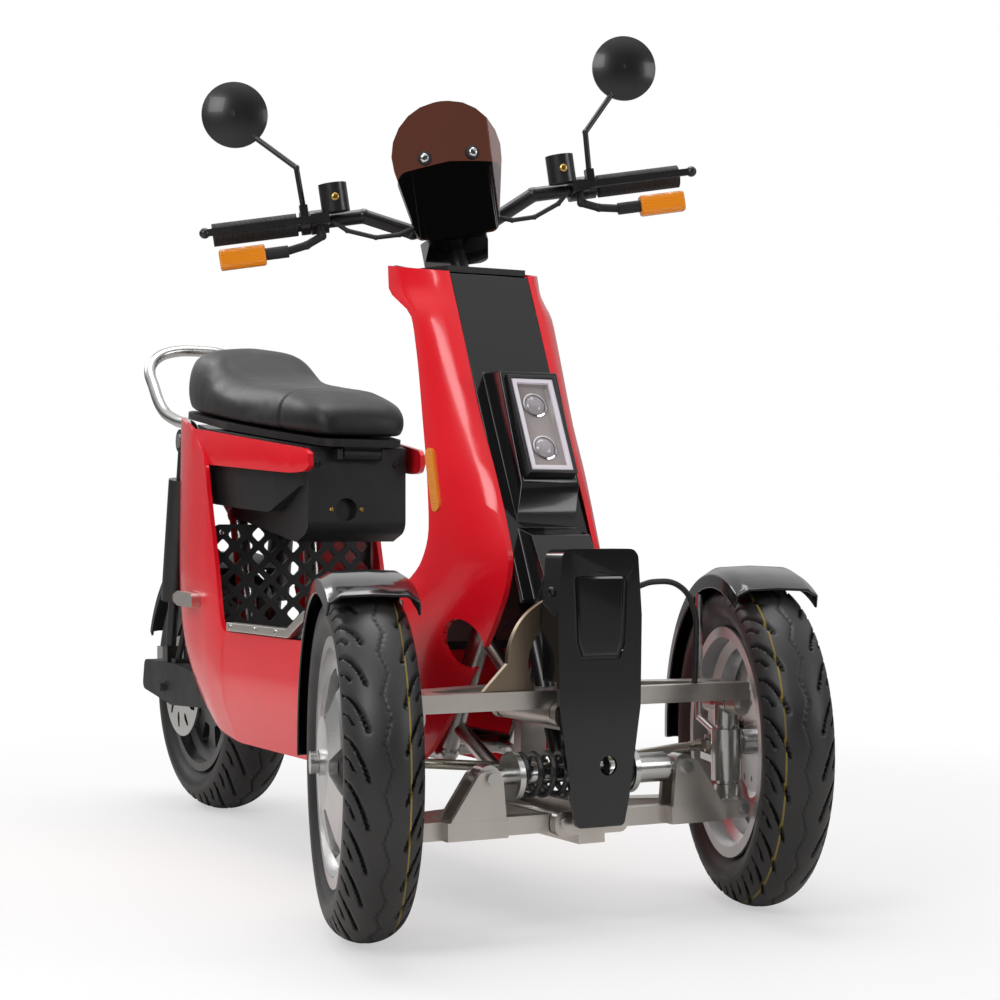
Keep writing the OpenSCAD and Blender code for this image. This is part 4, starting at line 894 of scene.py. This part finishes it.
@dataclass
class HeadLamp:
    """The upright lamp: dark housing, pale light frame and two stacked cells, each with its domed lens.

    Attributes:
        half_width: Half of its width in metres.
        low: Its lower end up the column's slope.
        high: Its upper end.
        front: Its face, out from the column.
        depth: Depth of the housing.
        corner: Width of its rounded edges.
        rim: Insets of the dark rim, as widths and heights in metres.
        ring: Insets of the light frame.
        bed: Insets of the bed.
        cell: Radius of a cell.
        cell_rim: Insets of a cell's bright rim.
        cell_lens: Insets of its domed lens.
        sunk: How far a cell's seat lies behind the face.
    """

    half_width: float = 0.038
    low: float = -0.347
    high: float = -0.194
    front: float = 0.050
    depth: float = 0.034
    corner: float = 0.0012
    rim: Insets = ((0.0045, 0.0), (0.0006, -0.0028))
    ring: Insets = ((0.0010, 0.0014), (0.0060, 0.0006), (0.0006, -0.0040))
    bed: Insets = ((0.0025, -0.0060),)
    cell: float = 0.0185
    cell_rim: Insets = ((0.0022, 0.0006), (0.0008, -0.0022))
    cell_lens: Insets = ((0.0022, 0.0030), (0.0032, 0.0022), (0.0040, 0.0012), (0.0030, 0.0003))
    sunk: float = 0.0130

    def build(self) -> None:
        """Build the housing and the two cells."""
        self._housing()
        middle, third = (self.low + self.high) / 2, (self.high - self.low) / 4.6
        for name, z in (("upper", middle + third), ("lower", middle - third)):
            self._cell(name, z)

    def _housing(self) -> bpy.types.Object:
        """Shape the rim, the light frame and the bed out of one box.

        Returns:
            The housing.
        """
        obj = block("lamp_housing", Vector((self.front - self.depth, -self.half_width, self.low)),
                    Vector((self.front, self.half_width, self.high)))
        for finish in (BLACK_METAL, LIGHT_FRAME, LAMP_BED):
            obj.data.materials.append(finish.build())
        carve(obj, is_front, *insets(self.rim), lambda: dye(obj, 1), *insets(self.ring), lambda: dye(obj, 2),
              *insets(self.bed))
        rounded = obj.modifiers.new("edges", "BEVEL")
        rounded.limit_method = "ANGLE"
        rounded.angle_limit = radians(35)
        rounded.width = self.corner
        rounded.segments = 3
        apply_all(obj)
        smooth(obj, 30)
        set_down(obj, COLUMN)
        return finish_piece(obj, "chassis", BLACK_METAL, "lamp_lens", "head_lamp")

    def _cell(self, name: str, z: float) -> bpy.types.Object:
        """Shape one cell with its lens.

        Args:
            name: Which cell it is.
            z: Its place up the column's slope.

        Returns:
            The cell.
        """
        obj = drum("lamp_cell_" + name, self.cell, 0.004, 40)
        obj.data.materials.append(CHROME.build())
        obj.data.materials.append(LENS.build())
        carve(obj, is_front, *insets(self.cell_rim), lambda: dye(obj, 1), *insets(self.cell_lens))
        smooth(obj, 40)
        set_down(obj, COLUMN @ Matrix.Translation(Vector((self.front - self.sunk, 0.0, z))))
        return finish_piece(obj, "chassis", CHROME, "lamp_lens")


@dataclass
class NoseInlay:
    """The panel let into the front shield, with the dark joint round it.

    Attributes:
        outline: Its right half as (y, z) in the CAD's millimetres, from the bottom up.
        face_x: The shield's front, in millimetres.
        sunk: How far its seat lies behind the front, in millimetres.
        joint: Inset of the joint, as width and height in metres.
        panel: Insets of the raised panel.
    """

    outline: tuple[tuple[float, float], ...] = ((30.0, 362.5), (37.6, 384.0), (41.6, 470.0), (36.0, 476.5))
    face_x: float = 758.0
    sunk: float = 2.6
    joint: Insets = ((0.0042, 0.0),)
    panel: Insets = ((0.0008, 0.0018), (0.0016, 0.0007), (0.0020, 0.0001))

    def build(self) -> bpy.types.Object:
        """Shape the panel out of a flat outline.

        Returns:
            The panel.
        """
        points = [*self.outline, *((-y, z) for y, z in reversed(self.outline))]
        bpy.ops.object.select_all(action="DESELECT")
        bpy.ops.mesh.primitive_circle_add(vertices=len(points), radius=0.04, fill_type="NGON",
                                          rotation=(0.0, pi / 2, 0.0))
        obj = bpy.context.active_object
        obj.name = "nose_inlay"
        settle(obj)
        for vertex, (y, z) in zip(obj.data.vertices, points):
            vertex.co = mm(self.face_x - self.sunk, y, z)
        edit(obj, lambda: bpy.ops.mesh.normals_make_consistent(inside=False))
        if obj.data.polygons[0].normal.x < 0:
            edit(obj, bpy.ops.mesh.flip_normals)
        obj.data.materials.append(BLACK_MATT.build())
        obj.data.materials.append(BLACK_GLOSS.build())
        carve(obj, lambda face: True, *insets(self.joint), lambda: dye(obj, 1), *insets(self.panel))
        smooth(obj, 30)
        return finish_piece(obj, "chassis", BLACK_GLOSS, "gloss_black")


@dataclass
class TailLamp:
    """The red lamp on the back of the tail.

    Attributes:
        place: The middle of its back in metres.
        size: Its width and height.
        toward: The way it faces.
        rim: Inset of its dark rim, as width and height in metres.
        lens: Insets of the red lens.
    """

    place: Vector = field(default_factory=lambda: mm(-663, 0, 700))
    size: tuple[float, float] = (0.084, 0.034)
    toward: Point = (-0.96, 0.0, -0.28)
    rim: Insets = ((0.003, 0.0),)
    lens: Insets = ((0.002, 0.003), (0.004, 0.0015), (0.006, 0.0004))

    def build(self) -> bpy.types.Object:
        """Shape the lens out of a box.

        Returns:
            The lamp.
        """
        half_w, half_h = self.size[0] / 2, self.size[1] / 2
        obj = block("tail_lens", Vector((-0.004, -half_w, -half_h)), Vector((0.008, half_w, half_h)))
        obj.data.materials.append(BLACK_METAL.build())
        obj.data.materials.append(RED_LENS.build())
        carve(obj, is_front, *insets(self.rim), lambda: dye(obj, 1), *insets(self.lens))
        smooth(obj, 35)
        set_down(obj, facing(self.place, Vector(self.toward)))
        return finish_piece(obj, "chassis", BLACK_METAL, "black_metal")


@dataclass
class BentTube:
    """A tube drawn smoothly along its run.

    Attributes:
        name: The piece's name.
        node: The CAD node that it stands for.
        run: Points of its middle line, in the CAD's millimetres.
        radius: Its radius in metres.
        finish: Its finish.
    """

    name: str
    node: str
    run: tuple[Point, ...]
    radius: float
    finish: Finish

    def build(self) -> bpy.types.Object:
        """Draw the tube and make it a mesh.

        Returns:
            The tube.
        """
        bpy.ops.object.select_all(action="DESELECT")
        bpy.ops.curve.primitive_bezier_curve_add()
        obj = bpy.context.active_object
        obj.name = self.name
        spline = obj.data.splines[0]
        spline.bezier_points.add(len(self.run) - len(spline.bezier_points))
        for point, place in zip(spline.bezier_points, self.run):
            point.co = mm(*place)
            point.handle_left_type = point.handle_right_type = "AUTO"
        obj.data.bevel_depth = self.radius
        obj.data.bevel_resolution = 6
        obj.data.resolution_u = 10
        obj.data.use_fill_caps = True
        hold(obj)
        bpy.ops.object.convert(target="MESH")
        edit(obj, lambda: bpy.ops.mesh.normals_make_consistent(inside=False))
        smooth(obj, 50)
        return finish_piece(obj, body_with(self.node), self.finish, slot_of(self.node), self.node)


HALF_RAIL = ((-597, 76.2, 711), (-622, 77, 729), (-662, 91, 741), (-700, 102, 760), (-745, 107, 808),
             (-778, 104, 848), (-792, 84, 870), (-798, 56, 882))
CABLE_RUN = ((738, 63.5, 455), (738, 96, 463), (734, 140, 456), (726, 168, 424), (716, 178, 380), (709, 180, 322))
TUBES = (
    BentTube("bent_rail", "grab_rail",
             (*HALF_RAIL, (-800, 0, 887), *((x, -y, z) for x, y, z in reversed(HALF_RAIL))), 0.011, STEEL),
    BentTube("looped_cable", "front_cable", CABLE_RUN, 0.004, BLACK_MATT),
)


@dataclass
class MirrorGlass:
    """The glass in the back of one mirror.

    Attributes:
        side: 1 for the left mirror and -1 for the right.
        radius: Its radius in metres.
        place: The left one's middle with the bars straight, in the CAD's millimetres.
        rim: Inset of its bevelled rim, as width and height in metres.
    """

    side: int
    radius: float = 0.0445
    place: Point = (314, 298, 1196)
    rim: Insets = ((0.0012, 0.0005),)

    def build(self) -> bpy.types.Object:
        """Shape the glass with its bevelled rim.

        Returns:
            The glass.
        """
        obj = drum(f"mirror_glass_{'left' if self.side > 0 else 'right'}", self.radius, 0.0008, 64)
        carve(obj, is_front, *insets(self.rim))
        smooth(obj, 20)
        x, y, z = self.place
        set_down(obj, BARS @ facing(mm(x, self.side * y, z), Vector((-1.0, 0.0, 0.0))))
        return finish_piece(obj, "steering", CHROME, "black_metal")


@dataclass(frozen=True)
class Screw:
    """One screw head.

    Attributes:
        place: The middle of its seat in metres.
        toward: The way it faces.
        radius: Its radius in metres.
        body: The body that it rides on.
        finish: Its finish.
    """

    place: Vector
    toward: Vector
    radius: float
    body: str = "chassis"
    finish: Finish = STEEL

    def build(self) -> bpy.types.Object:
        """Shape a domed head with its socket.

        Returns:
            The head.
        """
        r = self.radius
        head = drum("screw_head", r, r * 0.45, 18)
        carve(head, is_front, *insets(((r * 0.16, r * 0.16), (r * 0.30, r * 0.08), (r * 0.05, -r * 0.42))))
        smooth(head, 45)
        set_down(head, facing(self.place, self.toward))
        return head


@dataclass
class Fasteners:
    """The screws that show on the body, the box, the rails and the screen."""

    def screws(self) -> list[Screw]:
        """List every screw with its place.

        Returns:
            The screws.
        """
        found: list[Screw] = []
        ahead = Vector((1.0, 0.0, 0.0))
        turn = BARS.to_3x3()
        for side in (-1, 1):
            out = Vector((0.0, side, 0.0))
            found += [Screw(mm(x, side * 164.9, 369.4), out, 0.0045) for x in (-172, -62, 30)]
            found += [Screw(mm(-296.1, side * 136, z), ahead, 0.0050) for z in (378, 528)]
            bolt = BARS @ mm(396.4, side * 35, 1086)
            away = turn @ Vector((0.981, side * 0.194, 0.0))
            found += [
                Screw(mm(-22.2, side * 70, 640), ahead, 0.0050, finish=BLACK_METAL),
                Screw(mm(-22.2, -20 + side * 27, 566), ahead, 0.0036, finish=BRASS),
                Screw(mm(738, side * 61.6, 452), out, 0.0065, finish=BLACK_METAL),
                Screw(bolt, away, 0.0105, "steering", BLACK_MATT),
                Screw(bolt + away * 0.005, away, 0.0066, "steering", CHROME),
                Screw(BARS @ mm(372.8, side * 172, 1050), turn @ ahead, 0.0060, "steering", BRASS),
            ]
        return found

    def build(self) -> None:
        """Build the screws, joined by body and finish."""
        groups: dict[tuple[str, str], list[Screw]] = {}
        for screw in self.screws():
            groups.setdefault((screw.body, screw.finish.name), []).append(screw)
        for (body, finish), screws in groups.items():
            piece = join([screw.build() for screw in screws], f"{body}_{finish}_screws")
            finish_piece(piece, body, screws[0].finish, "bright_steel")


@dataclass(frozen=True)
class Lamp:
    """One soft lamp of the studio.

    Attributes:
        name: Its name.
        place: Its place in metres.
        aim: The point that it shines on.
        size: Side of its square in metres.
        power: Its power in watts.
    """

    name: str
    place: Point
    aim: Point
    size: float
    power: float

    def build(self, scene: bpy.types.Scene) -> None:
        """Hang the lamp in the scene."""
        light = bpy.data.lights.new(self.name, "AREA")
        light.energy = self.power
        light.size = self.size
        lamp = bpy.data.objects.new(self.name, light)
        lamp.location = self.place
        lamp.rotation_euler = (Vector(self.aim) - Vector(self.place)).to_track_quat("-Z", "Y").to_euler()
        scene.collection.objects.link(lamp)


@dataclass
class Studio:
    """Floor, lights and the camera of the photograph.

    Attributes:
        eye: The camera's place in metres.
        yaw: Its direction round the vertical, in degrees from forward.
        pitch: Its rise in degrees.
        lens: Focal length on a 36 mm sensor.
        lamps: The lamps.
    """

    eye: Point = (3.086, -1.396 + MIDDLE_Y, 0.535)
    yaw: float = 151.85
    pitch: float = 0.79
    lens: float = 74.05
    lamps: tuple[Lamp, ...] = (
        Lamp("key", (2.2, -3.0, 2.6), (0.1, 0.0, 0.5), 1.7, 62.0),
        Lamp("fill", (3.2, 2.4, 1.7), (0.2, 0.0, 0.5), 1.4, 26.0),
        Lamp("top", (-0.2, 0.0, 3.4), (0.0, 0.0, 0.4), 2.0, 48.0),
        Lamp("rim", (-2.8, -1.2, 2.6), (-0.3, 0.0, 0.6), 1.2, 26.0),
    )

    def build(self) -> None:
        """Make the floor, the world, the lamps and the camera."""
        scene = bpy.context.scene
        scene.view_settings.view_transform = "Standard"
        self._world(scene)
        self._floor()
        for lamp in self.lamps:
            lamp.build(scene)
        self._camera(scene)

    def _camera(self, scene: bpy.types.Scene) -> None:
        """Add the photograph's camera to the scene."""
        data = bpy.data.cameras.new("photo_camera")
        data.lens = self.lens
        data.sensor_width = 36.0
        data.clip_end = 60.0
        camera = bpy.data.objects.new("photo_camera", data)
        camera.location = self.eye
        yaw, pitch = radians(self.yaw), radians(self.pitch)
        look = Vector((cos(pitch) * cos(yaw), cos(pitch) * sin(yaw), sin(pitch)))
        camera.rotation_euler = look.to_track_quat("-Z", "Y").to_euler()
        scene.collection.objects.link(camera)
        scene.camera = camera

    def _seen(self, tree: Nodes, rays: bpy.types.bpy_prop_collection) -> Socket:
        """Return a value that is 1 for rays that show the background straight or through glass.

        Args:
            tree: The nodes that it is added to.
            rays: The outputs of the Light Path node.

        Returns:
            The value's socket.
        """
        clear = tree.nodes.new("ShaderNodeMath")
        clear.operation = "SUBTRACT"
        clear.use_clamp = True
        tree.links.new(rays["Is Transmission Ray"], clear.inputs[0])
        tree.links.new(rays["Glossy Depth"], clear.inputs[1])
        either = tree.nodes.new("ShaderNodeMath")
        either.operation = "MAXIMUM"
        tree.links.new(rays["Is Camera Ray"], either.inputs[0])
        tree.links.new(clear.outputs[0], either.inputs[1])
        return either.outputs[0]

    def _spread(self, tree: Nodes, value: Socket, start: tuple[float, float], end: tuple[float, float]) -> Socket:
        """Spread a value smoothly between two pairs of (value, result).

        Args:
            tree: The nodes that it is added to.
            value: The value's socket.
            start: The first value and its result.
            end: The last value and its result.

        Returns:
            The result's socket.
        """
        spread = tree.nodes.new("ShaderNodeMapRange")
        spread.interpolation_type = "SMOOTHSTEP"
        for name, number in zip(("From Min", "To Min", "From Max", "To Max"), (*start, *end)):
            spread.inputs[name].default_value = number
        tree.links.new(value, spread.inputs["Value"])
        return spread.outputs["Result"]

    def _world(self, scene: bpy.types.Scene) -> None:
        """Make a white world whose reflection is bright above and behind the object and dim in front of it."""
        world = bpy.data.worlds.new("studio")
        scene.world = world
        world.use_nodes = True
        tree = world.node_tree
        light = tree.nodes["Background"]
        light.inputs["Strength"].default_value = 0.50
        shown = tree.nodes.new("ShaderNodeBackground")
        mirrored = tree.nodes.new("ShaderNodeBackground")
        for background in (light, shown, mirrored):
            background.inputs["Color"].default_value = WHITE
        lean = tree.nodes.new("ShaderNodeVectorMath")
        lean.operation = "DOT_PRODUCT"
        lean.inputs[1].default_value = (-0.30, 0.12, 0.95)
        tree.links.new(tree.nodes.new("ShaderNodeTexCoord").outputs["Generated"], lean.inputs[0])
        level = self._spread(tree, lean.outputs["Value"], (0.12, 0.06), (0.80, 0.9))
        tree.links.new(level, mirrored.inputs["Strength"])
        rays = tree.nodes.new("ShaderNodeLightPath").outputs
        first, last = tree.nodes.new("ShaderNodeMixShader"), tree.nodes.new("ShaderNodeMixShader")
        tree.links.new(rays["Is Glossy Ray"], first.inputs["Fac"])
        tree.links.new(light.outputs["Background"], first.inputs[1])
        tree.links.new(mirrored.outputs["Background"], first.inputs[2])
        tree.links.new(self._seen(tree, rays), last.inputs["Fac"])
        tree.links.new(first.outputs["Shader"], last.inputs[1])
        tree.links.new(shown.outputs["Background"], last.inputs[2])
        tree.links.new(last.outputs["Shader"], tree.nodes["World Output"].inputs["Surface"])

    def _floor(self) -> None:
        """Lay a plain pale floor that keeps the object's shadow and fades into the background, and that shows a
        darker, warmer colour in reflections as painted shade.
        """
        bpy.ops.object.select_all(action="DESELECT")
        bpy.ops.mesh.primitive_plane_add(size=40.0, location=(0.0, 0.0, -0.0005))
        floor = bpy.context.active_object
        floor.name = "studio_floor"
        material = bpy.data.materials.new("pale_floor")
        material.use_nodes = True
        tree = material.node_tree
        shader = tree.nodes["Principled BSDF"]
        shader.inputs["Roughness"].default_value = 0.6
        glow = tree.nodes.new("ShaderNodeEmission")
        away = tree.nodes.new("ShaderNodeVectorMath")
        away.operation = "LENGTH"
        tree.links.new(tree.nodes.new("ShaderNodeTexCoord").outputs["Object"], away.inputs[0])
        fade = self._spread(tree, away.outputs["Value"], (0.9, 0.5), (2.3, 1.0))
        rays = tree.nodes.new("ShaderNodeLightPath").outputs
        # The floor's colour, with a darker, warmer copy for glossy rays: painted shade in reflections.
        pale = tree.nodes.new("ShaderNodeMix")
        pale.data_type = "RGBA"
        pale.inputs["A"].default_value = (0.86, 0.86, 0.86, 1.0)
        pale.inputs["B"].default_value = (0.62, 0.60, 0.58, 1.0)
        tree.links.new(rays["Is Glossy Ray"], pale.inputs["Factor"])
        tree.links.new(pale.outputs["Result"], shader.inputs["Base Color"])
        share = tree.nodes.new("ShaderNodeMath")
        share.operation = "MULTIPLY"
        tree.links.new(self._seen(tree, rays), share.inputs[0])
        tree.links.new(fade, share.inputs[1])
        mix = tree.nodes.new("ShaderNodeMixShader")
        tree.links.new(share.outputs[0], mix.inputs["Fac"])
        tree.links.new(shader.outputs["BSDF"], mix.inputs[1])
        tree.links.new(glow.outputs["Emission"], mix.inputs[2])
        tree.links.new(mix.outputs["Shader"], tree.nodes["Material Output"].inputs["Surface"])
        floor.data.materials.append(material)


@dataclass
class Solids:
    """The CAD nodes that stay, each with its finish.

    Attributes:
        finishes: Nodes whose finish differs from their slot's.
    """

    finishes: dict[str, Finish] = field(default_factory=lambda: {
        "front_rim_right": CAST_ALLOY, "front_rim_left": CAST_ALLOY, "rear_disc": STEEL, "tie_rod_right": ZINC,
        "tie_rod_left": ZINC,
    })

    def dress(self) -> None:
        """Give every node the finish of its slot, or its own."""
        for name, obj in frame["nodes"].items():
            finish = self.finishes.get(name, BY_SLOT[slot_of(name)])
            obj.data.materials.clear()
            obj.data.materials.append(finish.build())
            smooth(obj, 35)
        LOG.info("%d nodes dressed", len(frame["nodes"]))


MOULDINGS: tuple[SoftEdges, ...] = (
    *(SoftEdges(f"leg_shield_{side}", 0.0025, 50.0) for side in ("right", "left")),
    *(SoftEdges(f"rear_shell_{side}", 0.0025, 50.0) for side in ("right", "left")),
    *(SoftEdges(f"front_guard_{side}", 0.0020, 40.0) for side in ("right", "left")),
    *(SoftEdges(f"{level}_arm_{side}", 0.0018, 40.0) for level in ("upper", "lower")
      for side in ("right", "left")),
    SoftEdges("nose_panel", 0.0024, 40.0, front_only=True),
    SoftEdges("column_panel", 0.0020), SoftEdges("stem_cover", 0.0025), SoftEdges("inner_shield", 0.0020, 50.0),
    SoftEdges("battery_box", 0.0040), SoftEdges("floor_board", 0.0015), SoftEdges("foot_rails", 0.0018),
    SoftEdges("brake_levers", 0.0015), SoftEdges("passenger_pegs", 0.0040), SoftEdges("rear_grille", 0.0008),
    SoftEdges("indicators", 0.0030), SoftEdges("tail_unit", 0.0030), SoftEdges("swingarm", 0.0030),
    SoftEdges("tilt_lock_sector", 0.0012), SoftEdges("fork_brackets", 0.0010), SoftEdges("front_carrier", 0.0015),
    SoftEdges("rear_guard", 0.0015), SoftEdges("seat_base", 0.0015), SoftEdges("windscreen", 0.0010),
)


def main() -> None:
    """Build every sub-assembly in order."""
    logging.basicConfig(level=logging.INFO)
    Studio().build()
    Solids().dress()
    mirrors = (MirrorGlass(side) for side in (-1, 1))
    for part in (*TYRES, *MOULDINGS, *TUBES, *mirrors, HeadLamp(), NoseInlay(), TailLamp(), Fasteners(), Saddle()):
        part.build()


if __name__ == "__main__":
    main()
